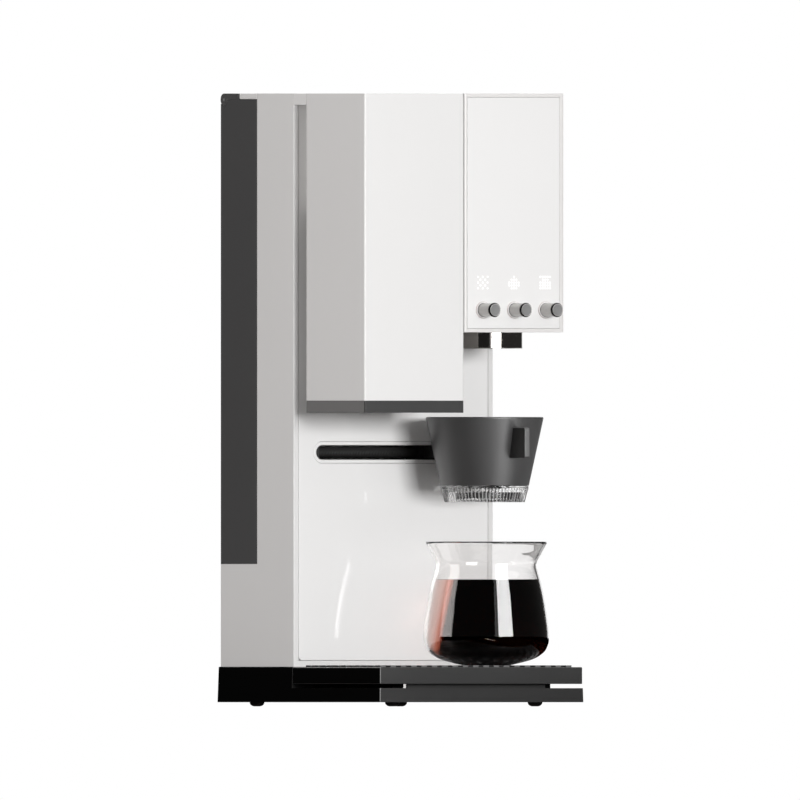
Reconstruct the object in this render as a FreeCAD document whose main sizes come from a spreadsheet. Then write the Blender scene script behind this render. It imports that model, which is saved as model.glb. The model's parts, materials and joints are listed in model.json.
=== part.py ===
import FreeCAD, Part

import math
import operator
import os
from types import SimpleNamespace

import Sketcher

Vector = FreeCAD.Vector
Rotation = FreeCAD.Rotation

# Pour-over coffee maker: a column on a low base, a grinder module and a brew head hung in front of it,
# a dripper on a travelling arm and a carafe on a scale platform.
# X runs to the right seen from the front, the front looks along -Y, Z is up, the feet stand on Z = 0.

# Driving sizes in millimetres
SIZES = {
    # whole machine
    "machine_height": 440.0,
    "part_gap": 0.3,
    "run_gap": 0.05,
    # base
    "base_width": 174.3,
    "base_depth": 214.6,
    "base_thickness": 25.4,
    "base_draft": 0.65,
    "base_wall": 3.0,
    "base_corner": 0.5,
    "slab_thickness": 10.1,
    "float_gap": 3.0,
    "pedestal_side_inset": 20.15,
    "pedestal_inset": 7.3,
    "pedestal_corner": 8.0,
    "platform_seat": 0.8,
    "plate_thickness": 2.0,
    "foot_height": 3.0,
    "foot_dia": 10.6,
    "foot_bend": 2.8,
    "foot_side_inset": 26.1,
    "foot_rear_inset": 12.3,
    "foot_front_inset": 23.9,
    "screw_dia": 3.0,
    "screw_head_dia": 5.6,
    "screw_head_height": 0.9,
    "screw_length": 6.0,
    "screw_inset": 11.5,
    "boss_dia": 8.0,
    "load_cell_length": 80.0,
    "load_cell_width": 12.7,
    "load_cell_height": 7.6,
    "load_post_dia": 10.0,
    # platform, tray and grille
    "platform_thickness": 12.1,
    "platform_edge": 0.7,
    "tray_side_inset": 4.15,
    "tray_front_inset": 8.0,
    "tray_rear_inset": 11.1,
    "tray_wall": 1.5,
    "platform_floor_thickness": 2.2,
    "grille_rise": 1.3,
    "grille_plate": 1.7,
    "pad_height": 1.4,
    "pad_gap_across": 4.03,
    "pad_gap_along": 1.95,
    "pad_side_margin": 1.1,
    "pad_overhang": 0.2,
    "pad_columns": 19,
    "pad_rows": 11,
    "slot_clearance": 1.0,
    # column
    "column_side_inset": 1.9,
    "column_depth": 96.5,
    "column_back_inset": 1.4,
    "column_wall": 2.5,
    "column_corner": 0.6,
    "shelf_height": 73.8,
    "panel_margin": 4.0,
    "panel_foot_margin": 4.4,
    "panel_thickness": 3.0,
    "panel_corner": 3.0,
    "panel_ledge": 2.0,
    # slot and carriage
    "slot_axis_height": 182.3,
    "slot_side_inset": 19.55,
    "slot_height": 10.3,
    "bezel_width": 2.7,
    "screw_axis_depth": 10.0,
    "lead_screw_dia": 8.0,
    "journal_dia": 5.0,
    "guide_rod_dia": 6.0,
    "guide_rod_rise": 16.0,
    "bracket_thickness": 4.0,
    "bracket_inset": 4.2,
    "bracket_depth": 18.0,
    "stepper_dia": 20.0,
    "stepper_length": 13.0,
    "block_end_gap": 0.875,
    "block_depth": 18.0,
    "arm_shoulder": 4.0,
    "arm_thickness": 8.4,
    "dock_width": 23.0,
    "dock_height": 26.0,
    "dock_thickness": 4.0,
    "dock_reach": 14.4,
    "dock_drop": 3.3,
    "magnet_dia": 8.0,
    "magnet_thickness": 2.5,
    "magnet_spread": 14.0,
    # dripper
    "dripper_top_dia": 85.0,
    "dripper_foot_dia": 63.5,
    "dripper_rim_height": 207.8,
    "dripper_sleeve_height": 49.4,
    "dripper_wall": 2.4,
    "basket_wall": 1.6,
    "basket_skirt_height": 11.8,
    "basket_skirt_dia": 57.6,
    "basket_ribs": 72,
    "basket_rib": 0.7,
    "outlet_dia": 50.0,
    "outlet_height": 7.0,
    "tab_reach": 56.3,
    "tab_thickness": 4.2,
    "tab_height": 22.0,
    "tab_drop": 7.6,
    "bracket_pad_width": 24.0,
    "bracket_pad_height": 22.0,
    # water tank
    "tank_depth": 47.9,
    "tank_wall": 2.0,
    "tank_corner": 0.6,
    "lid_thickness": 4.1,
    "cap_depth": 23.0,
    "lid_barrel_radius": 4.4,
    "lid_pin_dia": 2.0,
    "ear_side_inset": 25.25,
    "ear_thickness": 6.0,
    "valve_dia": 15.0,
    "valve_drop": 8.0,
    "valve_stem_dia": 9.8,
    "valve_side": 30.0,
    "socket_wall": 2.4,
    "socket_depth": 12.0,
    # water path and power
    "pump_dia": 34.0,
    "pump_length": 70.0,
    "nipple_dia": 8.0,
    "nipple_length": 6.0,
    "hose_dia": 9.0,
    "hose_bore": 5.0,
    "hose_bend": 12.0,
    "heater_width": 60.0,
    "heater_depth": 22.0,
    "heater_height": 80.0,
    "heater_drop": 150.0,
    "brew_hose_rise": 5.0,
    "heater_tube_dia": 8.0,
    "supply_width": 58.0,
    "supply_depth": 36.0,
    "inlet_width": 27.4,
    "inlet_height": 20.0,
    "inlet_depth": 18.0,
    "inlet_side_inset": 35.25,
    "inlet_axis_height": 66.0,
    # module bridge
    "module_gap": 16.0,
    "bridge_thickness": 8.2,
    "neck_width": 52.0,
    "neck_height": 60.0,
    "neck_drop": 25.0,
    "neck_wall": 3.0,
    # modules
    "module_depth": 77.5,
    "module_wall": 2.5,
    "module_corner": 1.2,
    "module_seam": 0.4,
    "lid_plate": 3.0,
    "grinder_foot_height": 219.5,
    "trim_height": 8.7,
    "trim_hole_dia": 36.0,
    "bean_lid_width": 60.0,
    "bean_lid_depth": 56.0,
    "bean_lid_inset": 11.0,
    "bean_lid_pin_dia": 1.6,
    "hopper_top_dia": 50.0,
    "hopper_throat_dia": 30.0,
    "hopper_flange": 4.0,
    "hopper_wall": 2.0,
    "chamber_dia": 62.0,
    "chamber_wall": 3.0,
    "chamber_height": 38.0,
    "chamber_foot_height": 298.0,
    "upper_burr_height": 10.0,
    "lower_burr_height": 8.0,
    "lower_burr_dia": 50.0,
    "burr_gap": 1.0,
    "burr_teeth": 12,
    "burr_groove": 1.6,
    "burr_shaft_dia": 8.0,
    "carrier_thickness": 5.0,
    "gear_thickness": 6.0,
    "gear_module": 0.65,
    "gear_teeth": 40,
    "pinion_teeth": 16,
    "gear_backlash": 0.12,
    "motor_shaft_dia": 4.0,
    "grinder_motor_dia": 34.0,
    "grinder_motor_length": 42.0,
    "chute_width": 22.0,
    "chute_wall": 1.6,
    "chute_channel": 12.0,
    # brew head
    "head_foot_height": 268.5,
    "head_border": 2.7,
    "head_right_border": 3.5,
    "display_thickness": 3.0,
    "board_thickness": 1.6,
    "board_setback": 7.0,
    "encoder_size": 12.0,
    "encoder_depth": 6.5,
    "knob_axis_height": 284.6,
    "first_knob_inset": 15.9,
    "last_knob_inset": 15.95,
    "knob_dia": 9.6,
    "knob_cap_dia": 10.3,
    "knob_reach": 16.8,
    "knob_cap_length": 3.0,
    "knob_root": 2.0,
    "knob_travel": 1.0,
    "collar_dia": 12.2,
    "collar_height": 1.0,
    "spindle_dia": 3.0,
    "nozzle_dia": 54.4,
    "nozzle_height": 11.6,
    "nozzle_wall": 2.0,
    "nozzle_stem_dia": 14.0,
    "shower_plate_thickness": 2.0,
    "shower_holes": 12,
    "shower_hole_dia": 2.0,
    # carafe
    "carafe_wall": 1.8,
    "carafe_rim_height": 117.0,
    "carafe_rim_dia": 86.8,
    "carafe_flare_dia": 79.0,
    "carafe_flare_drop": 7.2,
    "carafe_neck_dia": 72.4,
    "carafe_neck_drop": 15.0,
    "carafe_shoulder_dia": 78.0,
    "carafe_shoulder_drop": 26.6,
    "carafe_waist_dia": 84.0,
    "carafe_waist_drop": 41.0,
    "carafe_belly_dia": 90.3,
    "carafe_belly_drop": 65.0,
    "carafe_haunch_dia": 86.6,
    "carafe_haunch_drop": 75.2,
    "carafe_hip_dia": 77.0,
    "carafe_hip_drop": 80.4,
    "carafe_heel_dia": 62.6,
    "carafe_heel_drop": 83.9,
    "carafe_base_dia": 32.0,
    "carafe_side_shift": 1.3,
    "carafe_front_shift": 4.2,
}

STEPS = {"+": operator.add, "-": operator.sub, "*": operator.mul, "/": operator.truediv}
PLANES = {"XY": ("XY_Plane", 1), "XZ": ("XZ_Plane", -1), "YZ": ("YZ_Plane", 1)}
TURNS = {
    "X": Rotation(Vector(0, 1, 0), 90),
    "Y": Rotation(Vector(1, 0, 0), -90),
    "Z": Rotation(),
}
ORIGIN = Vector(0, 0, 0)
UP = Vector(0, 0, 1)
NEAR = 0.01


class Size:
    """A length: the expression that gives it from the sheet, and its value."""

    def __init__(self, text, value):
        self.text = text
        self.value = value

    def __float__(self):
        return float(self.value)

    def __neg__(self):
        return combine(0, "-", self)

    def __add__(self, other):
        return combine(self, "+", other)

    def __radd__(self, other):
        return combine(other, "+", self)

    def __sub__(self, other):
        return combine(self, "-", other)

    def __rsub__(self, other):
        return combine(other, "-", self)

    def __mul__(self, other):
        return combine(self, "*", other)

    def __truediv__(self, other):
        return combine(self, "/", other)


def as_size(value):
    if isinstance(value, Size):
        return value
    return Size("(%.9g)" % value, value)


def combine(left, sign, right):
    left = as_size(left)
    right = as_size(right)
    return Size("(%s %s %s)" % (left.text, sign, right.text), STEPS[sign](left.value, right.value))


def bind(thing, name, size):
    thing.setExpression(name, as_size(size).text)


def both(half):
    """The span from minus half to plus half."""
    return (-half, half)


def about(middle, width):
    """The span of a width about its middle."""
    return (middle - width / 2, middle + width / 2)


doc = FreeCAD.newDocument("pour_over_coffee_maker")
sheet = doc.addObject("Spreadsheet::Sheet", "sizes")
for number, (alias, amount) in enumerate(SIZES.items(), 1):
    sheet.set("A%d" % number, alias)
    sheet.set("B%d" % number, str(amount))
    sheet.setAlias("B%d" % number, alias)
doc.recompute()
s = SimpleNamespace(**{alias: Size("sizes." + alias, amount) for alias, amount in SIZES.items()})
nodes = []


def rectangle(x, y):
    """Corner points of a rectangle from two spans."""
    return [(x[0], y[0]), (x[1], y[0]), (x[1], y[1]), (x[0], y[1])]


def circle(x, y, radius):
    return ("circle", x, y, radius)


def hold_point(sketch, edge, end, x, y):
    """Ties one end of a sketch line, or a circle's centre, to the sketch's origin."""
    for kind, size, axis in (("DistanceX", as_size(x), -2), ("DistanceY", as_size(y), -1)):
        if size.value == 0:
            sketch.addConstraint(Sketcher.Constraint("PointOnObject", edge, end, axis))
            continue
        number = sketch.addConstraint(Sketcher.Constraint(kind, -1, 1, edge, end, size.value))
        bind(sketch, "Constraints[%d]" % number, size)


def draw(sketch, outline):
    """Draws a closed outline of straight lines, or a circle, with its sizes bound."""
    if outline[0] == "circle":
        x, y, radius = outline[1:]
        centre = Vector(float(as_size(x)), float(as_size(y)), 0)
        edge = sketch.addGeometry(Part.Circle(centre, UP, float(radius)))
        hold_point(sketch, edge, 3, x, y)
        number = sketch.addConstraint(Sketcher.Constraint("Radius", edge, float(radius)))
        bind(sketch, "Constraints[%d]" % number, radius)
        return
    corners = [Vector(float(as_size(x)), float(as_size(y)), 0) for x, y in outline]
    edges = []
    for start, end in zip(corners, corners[1:] + corners[:1]):
        edges.append(sketch.addGeometry(Part.LineSegment(start, end)))
    for edge, after in zip(edges, edges[1:] + edges[:1]):
        sketch.addConstraint(Sketcher.Constraint("Coincident", edge, 2, after, 1))
    for edge, (x, y) in zip(edges, outline):
        hold_point(sketch, edge, 1, x, y)


def direction(edge):
    """Unit direction of a straight edge, or none for a bent or closed one."""
    if len(edge.Vertexes) != 2:
        return None
    way = edge.Vertexes[1].Point - edge.Vertexes[0].Point
    if abs(way.Length - edge.Length) > NEAR:
        return None
    return way.normalize()


def runs_along(edge, axis):
    """True for a straight edge along X, Y or Z."""
    way = direction(edge)
    return bool(way) and abs(getattr(way, axis.lower())) > 1 - NEAR


def corner_posts(x_side, y_low=None, y_high=None):
    """Chooses upright edges at the outer sides of a housing."""

    def choose(edge):
        if not runs_along(edge, "Z"):
            return False
        centre = edge.CenterOfMass
        at_side = abs(abs(centre.x) - float(x_side)) < 1.0
        ends = [float(end) for end in (y_low, y_high) if end is not None]
        at_end = not ends or min(abs(centre.y - end) for end in ends) < 1.0
        return at_side and at_end

    return choose


class Piece:
    """One part design body and the features that shape it."""

    def __init__(self, label):
        self.label = label
        self.body = doc.addObject("PartDesign::Body", label)
        self.body.Label = label
        nodes.append(self.body)

    def place(self, x=0, y=0, z=0, turn=None):
        if turn:
            self.body.Placement = FreeCAD.Placement(ORIGIN, TURNS[turn])
        for axis, size in zip("xyz", (x, y, z)):
            bind(self.body, "Placement.Base." + axis, size)
        return self

    def origin(self, role):
        return next(item for item in self.body.Origin.OriginFeatures if item.Role == role)

    def sketch(self, plane, level, outlines):
        role, way = PLANES[plane]
        sketch = self.body.newObject("Sketcher::SketchObject", self.label + "_sketch")
        sketch.AttachmentSupport = [(self.origin(role), "")]
        sketch.MapMode = "FlatFace"
        bind(sketch, "AttachmentOffset.Base.z", as_size(level) * way)
        for outline in outlines:
            draw(sketch, outline)
        return sketch

    def add(self, kind, sketch=None):
        feature = self.body.newObject("PartDesign::" + kind, self.label + "_" + kind.lower())
        if sketch:
            feature.Profile = sketch
        self.last = feature
        return feature

    def pad(self, plane, span, *outlines):
        low, high = span
        start = low if PLANES[plane][1] > 0 else high
        feature = self.add("Pad", self.sketch(plane, start, outlines))
        bind(feature, "Length", high - low)
        return self

    def pocket(self, plane, span, *outlines):
        """Cuts through a span, and fails where nothing is cut."""
        low, high = span
        start = high if PLANES[plane][1] > 0 else low
        doc.recompute()
        before = self.body.Shape.Volume
        feature = self.add("Pocket", self.sketch(plane, start, outlines))
        bind(feature, "Length", high - low)
        doc.recompute()
        if self.body.Shape.Volume >= before:
            raise RuntimeError("a pocket of %s cuts nothing" % self.label)
        return self

    def loft(self, *levels):
        """Joins rectangles at two or more heights with flat drafted sides."""
        sketches = [self.sketch("XY", level, [outline]) for level, outline in levels]
        feature = self.add("AdditiveLoft", sketches[0])
        feature.Sections = sketches[1:]
        feature.Ruled = True
        return self

    def turn(self, outline, kind="Revolution"):
        """Revolves or grooves a profile of radii and heights about the upright axis."""
        sketch = self.sketch("XZ", 0, [outline])
        feature = self.add(kind, sketch)
        feature.ReferenceAxis = (sketch, ["V_Axis"])
        feature.Angle = 360
        return self

    def spread_round(self, count):
        """Repeats the last feature evenly about the upright axis."""
        original = self.last
        feature = self.add("PolarPattern")
        feature.Originals = [original]
        feature.Axis = (self.origin("Z_Axis"), [""])
        feature.Angle = 360
        bind(feature, "Occurrences", count)
        self.body.Tip = feature
        return self

    def dress(self, kind, radius, choose):
        doc.recompute()
        tip = self.body.Tip
        names = ["Edge%d" % number for number, edge in enumerate(tip.Shape.Edges, 1) if choose(edge)]
        if not names:
            raise RuntimeError("no edge to round on %s" % self.label)
        feature = self.add(kind)
        feature.Base = (tip, names)
        bind(feature, "Radius" if kind == "Fillet" else "Size", radius)
        return self

    def fillet(self, radius, choose):
        return self.dress("Fillet", radius, choose)

    def chamfer(self, size, choose):
        return self.dress("Chamfer", size, choose)


def block(x, y, z, name="block"):
    """A box from three spans."""
    box = doc.addObject("Part::Box", name)
    for side, axis, (low, high) in zip(("Length", "Width", "Height"), "xyz", (x, y, z)):
        bind(box, side, as_size(high) - low)
        bind(box, "Placement.Base." + axis, low)
    return box


def rod(axis, centre, span, radius, name="rod"):
    """A cylinder along an axis; the centre gives the other two coordinates in X, Y, Z order."""
    cylinder = doc.addObject("Part::Cylinder", name)
    bind(cylinder, "Radius", radius)
    bind(cylinder, "Height", as_size(span[1]) - span[0])
    place = list(centre)
    place.insert("XYZ".index(axis), span[0])
    cylinder.Placement = FreeCAD.Placement(ORIGIN, TURNS[axis])
    for letter, size in zip("xyz", place):
        bind(cylinder, "Placement.Base." + letter, size)
    return cylinder


def fuse(*parts):
    joined = doc.addObject("Part::MultiFuse", "joined")
    joined.Shapes = list(parts)
    return joined


def cut(whole, *tools):
    left = doc.addObject("Part::Cut", "cut")
    left.Base = whole
    left.Tool = tools[0] if len(tools) == 1 else fuse(*tools)
    return left


def node(label, thing):
    """Makes a document object one of the exported pieces."""
    thing.Label = label
    nodes.append(thing)
    return thing


def shaped(label, shape):
    """A piece whose form needs more than sketches and primitives."""
    thing = doc.addObject("Part::Feature", label)
    thing.Shape = shape
    return node(label, thing)


def solid_box(x, y, z):
    low = Vector(float(x[0]), float(y[0]), float(z[0]))
    sides = [float(span[1]) - float(span[0]) for span in (x, y, z)]
    return Part.makeBox(*sides, low)


def solid_rod(centre, span, radius):
    """An upright solid cylinder."""
    base = Vector(float(centre[0]), float(centre[1]), float(span[0]))
    return Part.makeCylinder(float(radius), float(span[1]) - float(span[0]), base)


# Levels, planes and axes that several pieces share
base_floor = s.foot_height
base_top = base_floor + s.base_thickness
slab_top = base_floor + s.slab_thickness
platform_foot = slab_top + s.float_gap
platform_top = platform_foot + s.platform_thickness
tank_floor = base_top + s.shelf_height
top = s.machine_height
tank_top = top - s.lid_thickness
bridge_foot = top - s.bridge_thickness
grinder_foot = s.grinder_foot_height
head_foot = s.head_foot_height

back = s.base_depth / 2
front = -back
column_back = back - s.column_back_inset
column_front = column_back - s.column_depth
tank_front = column_back - s.tank_depth
panel_back = column_front + s.panel_thickness
module_back = column_front - s.module_gap
module_front = module_back - s.module_depth
module_middle = module_back - s.module_depth / 2

base_side = s.base_width / 2
column_side = base_side - s.column_side_inset
brew_x = column_side / 2
grind_x = -brew_x
tray_half = base_side - s.tray_side_inset
tray_front = front + s.tray_front_inset
tray_depth = (column_front - s.tray_rear_inset) - tray_front
platform_middle = tray_front + tray_depth / 2
pedestal_half = base_side - s.pedestal_side_inset
inlet_x = column_side - s.inlet_side_inset


def base_housing():
    """Black moulded base: a deep rear block, a low slab under the platform and a pedestal between."""
    draft = s.base_draft
    slab_draft = draft * s.slab_thickness / s.base_thickness
    inner = base_side - s.base_wall
    load_x = s.load_cell_length / 2 - s.load_cell_width / 2
    piece = Piece("base_housing")
    piece.loft(
        (base_floor, rectangle(both(base_side), (column_front, back))),
        (base_top, rectangle(both(base_side - draft), (column_front, back - draft))),
    )
    piece.loft(
        (base_floor, rectangle(both(base_side), (front, column_front))),
        (slab_top, rectangle(both(base_side - slab_draft), (front + slab_draft, column_front))),
    )
    pedestal_top = platform_foot + s.platform_seat - s.part_gap
    pedestal = (both(pedestal_half), (front + s.pedestal_inset, column_front))
    piece.pad("XY", (slab_top, pedestal_top), rectangle(*pedestal))
    piece.fillet(s.base_corner, corner_posts(base_side, front, back))
    piece.fillet(s.pedestal_corner, corner_posts(pedestal_half, front + s.pedestal_inset))
    split = column_front + s.base_wall
    piece.pocket("XY", (base_floor, base_top - s.base_wall),
                 rectangle(both(inner), (split, back - s.base_wall)))
    piece.pocket("XY", (base_floor, slab_top - s.base_wall),
                 rectangle(both(inner), (front + s.base_wall, split)))
    piece.pocket("XY", (slab_top - s.base_wall, pedestal_top - s.plate_thickness),
                 rectangle(both(pedestal_half - s.base_wall),
                           (front + s.pedestal_inset + s.base_wall, split)))
    post = s.load_post_dia / 2 + s.part_gap * 3
    piece.pocket("XY", (pedestal_top - s.plate_thickness, pedestal_top),
                 circle(load_x, platform_middle, post))
    boss_foot = base_floor + s.plate_thickness
    for rear in (True, False):
        ceiling = base_top - s.base_wall if rear else slab_top - s.base_wall
        spots = [spot for spot in screw_spots if (spot[1].value > column_front.value) == rear]
        piece.pad("XY", (boss_foot, ceiling), *[circle(x, y, s.boss_dia / 2) for x, y in spots])
        hole = s.screw_dia / 2 + s.run_gap
        depth = (boss_foot, boss_foot + s.screw_length - s.run_gap * 4)
        piece.pocket("XY", depth, *[circle(x, y, hole) for x, y in spots])


screw_x = base_side - s.screw_inset
screw_spots = [(side * way, y) for side, way in ((screw_x, -1), (screw_x, 1))
               for y in (back - s.screw_inset, column_front + s.screw_inset, front + s.screw_inset)]
screw_head_foot = base_floor + s.plate_thickness / 2 - s.screw_head_height


def bottom_plate():
    """Flat cover that closes the base from below, with a counterbored hole for each screw."""
    inner = base_side - s.base_wall - s.part_gap
    span = (front + s.base_wall + s.part_gap, back - s.base_wall - s.part_gap)
    piece = Piece("bottom_plate")
    piece.pad("XY", (base_floor, base_floor + s.plate_thickness), rectangle(both(inner), span))
    hole = s.screw_dia / 2 + s.part_gap
    recess = s.screw_head_dia / 2 + s.part_gap
    middle = base_floor + s.plate_thickness / 2
    piece.pocket("XY", (middle, base_floor + s.plate_thickness), *[circle(x, y, hole) for x, y in screw_spots])
    piece.pocket("XY", (base_floor, middle), *[circle(x, y, recess) for x, y in screw_spots])


def feet():
    """Four rubber feet with a flat sole and a rounded lower edge."""
    radius = float(s.foot_dia) / 2
    height = float(s.foot_height)
    bend = float(s.foot_bend)
    sole = Vector(radius - bend, 0, 0)
    side = Vector(radius, 0, bend)
    middle = Vector(radius - bend * (1 - math.sqrt(0.5)), 0, bend * (1 - math.sqrt(0.5)))
    edges = [
        Part.LineSegment(ORIGIN, sole).toShape(),
        Part.Arc(sole, middle, side).toShape(),
        Part.LineSegment(side, Vector(radius, 0, height)).toShape(),
        Part.LineSegment(Vector(radius, 0, height), Vector(0, 0, height)).toShape(),
        Part.LineSegment(Vector(0, 0, height), ORIGIN).toShape(),
    ]
    pad = Part.Face(Part.Wire(edges)).revolve(ORIGIN, UP, 360)
    across = float(base_side - s.foot_side_inset)
    rear = float(back - s.foot_rear_inset)
    fore = float(front + s.foot_front_inset)
    copies = []
    for x in (-across, across):
        for y in (rear, fore):
            copy = pad.copy()
            copy.translate(Vector(x, y, 0))
            copies.append(copy)
    shaped("feet", Part.makeCompound(copies))


def case_screws():
    """Pan-head screws that hold the bottom plate, each with a straight recess."""
    screws = []
    for x, y in screw_spots:
        place = (float(x), float(y))
        head_top = screw_head_foot + s.screw_head_height
        head = solid_rod(place, (screw_head_foot, head_top), s.screw_head_dia / 2)
        shank = solid_rod(place, (head_top, head_top + s.screw_length), s.screw_dia / 2)
        recess = solid_box(about(x, s.screw_head_dia / 2), about(y, s.screw_head_height),
                           (screw_head_foot, screw_head_foot + s.screw_head_height / 2))
        screws.append(head.fuse(shank).cut(recess).removeSplitter())
    shaped("case_screws", Part.makeCompound(screws))


def load_cell():
    """Bar load cell: thinned over two bores, fixed at its left end, with the platform's post at its right."""
    foot = base_floor + s.plate_thickness
    rest = foot + s.part_gap
    crown = rest + s.load_cell_height
    half = s.load_cell_length / 2
    fixed_end = (-half, -half + s.load_cell_width)
    wide = about(platform_middle, s.load_cell_width)
    bar = block(both(half), wide, (rest, crown))
    pad = block(fixed_end, wide, (foot, rest))
    post_x = half - s.load_cell_width / 2
    post = rod("Z", (post_x, platform_middle), (crown, platform_foot + s.platform_seat), s.load_post_dia / 2)
    bores = []
    radius = s.load_cell_height * 0.36
    for x in (-(radius * 0.8), radius * 0.8):
        bores.append(rod("Y", (x, (rest + crown) / 2), wide, radius))
    node("load_cell", cut(fuse(bar, pad, post), *bores))


def scale_platform():
    """Weighing platform that floats over the slab, with a recess for the tray and a seat over the pedestal."""
    edge = base_side - s.base_draft
    behind = column_front - s.part_gap
    piece = Piece("scale_platform")
    piece.pad("XY", (platform_foot, platform_top), rectangle(both(edge), (front + s.base_draft, behind)))
    piece.fillet(s.base_corner, corner_posts(edge, front))
    piece.fillet(s.platform_edge, lambda line: abs(line.CenterOfMass.z - float(platform_top)) < NEAR)
    seat = (both(pedestal_half + s.part_gap), (front + s.pedestal_inset - s.part_gap, behind))
    piece.pocket("XY", (platform_foot, platform_foot + s.platform_seat), rectangle(*seat))
    recess = (both(tray_half + s.part_gap), about(platform_middle, tray_depth + s.part_gap * 2))
    piece.pocket("XY", (platform_foot + s.platform_floor_thickness, platform_top), rectangle(*recess))


tray_foot = platform_foot + s.platform_floor_thickness
grille_top = platform_top + s.grille_rise
grille_foot = grille_top - s.pad_height - s.grille_plate
ledge_top = grille_foot


def drip_tray():
    """Shallow basin under the grille, with a rounded floor edge and a stepped rim."""
    half = tray_half
    wall = s.tray_wall
    rim = platform_top - s.part_gap
    piece = Piece("drip_tray")
    piece.pad("XY", (tray_foot, rim), rectangle(both(half), about(platform_middle, tray_depth)))
    piece.pocket("XY", (ledge_top, rim),
                 rectangle(both(half - wall), about(platform_middle, tray_depth - wall * 2)))
    piece.pocket("XY", (tray_foot + wall, ledge_top),
                 rectangle(both(half - wall * 2), about(platform_middle, tray_depth - wall * 4)))
    floor = tray_foot + wall
    piece.fillet(wall, lambda edge: abs(edge.CenterOfMass.z - float(floor)) < NEAR)


def drip_grille():
    """Grille plate with rows of raised pads and long drain slots between their columns."""
    wall = s.tray_wall + s.part_gap
    plate = solid_box(both(tray_half - wall), about(platform_middle, tray_depth - wall * 2),
                      (grille_foot, grille_foot + s.grille_plate))
    columns = int(s.pad_columns.value)
    rows = int(s.pad_rows.value)
    wide = (tray_half * 2 - s.pad_side_margin * 2 - s.pad_gap_across * (columns - 1)) / columns
    long = (tray_depth + s.pad_overhang * 2 - s.pad_gap_along * (rows - 1)) / rows
    pitch = wide + s.pad_gap_across
    row_pitch = long + s.pad_gap_along
    pad_span = (grille_foot + s.grille_plate, grille_top)
    pads = []
    slots = []
    reach = row_pitch * ((rows - 1) / 2)
    bridge = long / 2
    for column in range(columns):
        x = pitch * (column - (columns - 1) / 2)
        for row in range(rows):
            y = platform_middle + row_pitch * (row - (rows - 1) / 2)
            pads.append(solid_box(about(x, wide), about(y, long), pad_span))
        if column == columns - 1:
            continue
        width = s.pad_gap_across - s.slot_clearance * 2
        for span in ((platform_middle - reach, platform_middle - bridge),
                     (platform_middle + bridge, platform_middle + reach)):
            slots.append(solid_box(about(x + pitch / 2, width), span,
                                   (grille_foot, grille_foot + s.grille_plate)))
    slotted = plate.cut(Part.makeCompound(slots))
    shaped("drip_grille", slotted.multiFuse(pads).removeSplitter())


def column_shell():
    """Folded metal column: a tall front part, and behind it a low part whose top is the tank's shelf."""
    wall = s.column_wall
    ledge = column_side - s.panel_margin - s.panel_ledge
    margin_foot = base_top + s.panel_foot_margin
    margin_top = top - s.panel_foot_margin
    side = [(column_front, base_top), (column_back, base_top), (column_back, tank_floor),
            (tank_front, tank_floor), (tank_front, top), (column_front, top)]
    piece = Piece("column_shell")
    piece.pad("YZ", both(column_side), side)
    piece.fillet(s.column_corner, corner_posts(column_side, column_front, column_back))
    piece.fillet(s.column_corner, corner_posts(column_side, tank_front))
    piece.pocket("XZ", (column_front, panel_back),
                 rectangle(both(column_side - s.panel_margin), (margin_foot, margin_top)))
    fold = panel_back + wall
    piece.pocket("XZ", (panel_back, fold),
                 rectangle(both(ledge), (margin_foot + s.panel_ledge, margin_top - s.panel_ledge)))
    piece.pocket("XZ", (fold, tank_front - wall), rectangle(both(column_side - wall), (base_top, top - wall)))
    piece.pocket("XZ", (tank_front - wall, column_back - wall),
                 rectangle(both(column_side - wall), (base_top, tank_floor - wall)))
    piece.pocket("XY", (tank_floor - wall, tank_floor),
                 circle(-s.valve_side, tank_middle, socket_radius + s.part_gap))
    piece.pocket("XZ", (column_back - wall, column_back),
                 rectangle(about(inlet_x, s.inlet_width + s.part_gap * 2),
                           about(s.inlet_axis_height, s.inlet_height + s.part_gap * 2)))


tank_middle = tank_front + s.tank_depth / 2
socket_radius = s.valve_dia / 2 + s.part_gap + s.socket_wall
slot_axis = s.slot_axis_height
slot_half = column_side - s.slot_side_inset
slot_end = slot_half - s.slot_height / 2
bezel_radius = s.slot_height / 2 + s.bezel_width
bezel_span = both(slot_end)
neck_top = top - s.neck_drop
neck_axis = neck_top - s.neck_height / 2
window_width = s.neck_width - s.neck_wall * 2
window_height = s.neck_height - s.neck_wall * 2


def stadium(piece, action, span, radius):
    """Pads or pockets the long rounded outline of the slot."""
    action("XZ", span, rectangle(bezel_span, about(slot_axis, radius * 2)))
    for x in (-slot_end, slot_end):
        action("XZ", span, circle(x, slot_axis, radius))


def front_panel():
    """Glossy front panel with rounded corners, the slot's opening and a window for each neck."""
    half = column_side - s.panel_margin - s.part_gap
    span = (column_front, panel_back)
    low = base_top + s.panel_foot_margin + s.part_gap
    high = top - s.panel_foot_margin - s.part_gap
    piece = Piece("front_panel")
    piece.pad("XZ", span, rectangle(both(half), (low, high)))
    piece.fillet(s.panel_corner, lambda edge: runs_along(edge, "Y"))
    stadium(piece, piece.pocket, span, bezel_radius + s.part_gap / 2)
    windows = [rectangle(about(x, window_width), about(neck_axis, window_height))
               for x in (grind_x, brew_x)]
    piece.pocket("XZ", span, *windows)


def slot_bezel():
    """Rounded ring that lines the slot."""
    span = (column_front, panel_back)
    piece = Piece("slot_bezel")
    stadium(piece, piece.pad, span, bezel_radius)
    stadium(piece, piece.pocket, span, s.slot_height / 2)
    lip = s.bezel_width / 4
    piece.fillet(lip, lambda edge: abs(edge.CenterOfMass.y - float(column_front)) < NEAR
                 and abs(edge.BoundBox.ZLength) < float(s.slot_height) + NEAR
                 and abs(edge.CenterOfMass.z - float(slot_axis)) < float(s.slot_height) / 2 + NEAR)


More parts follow.
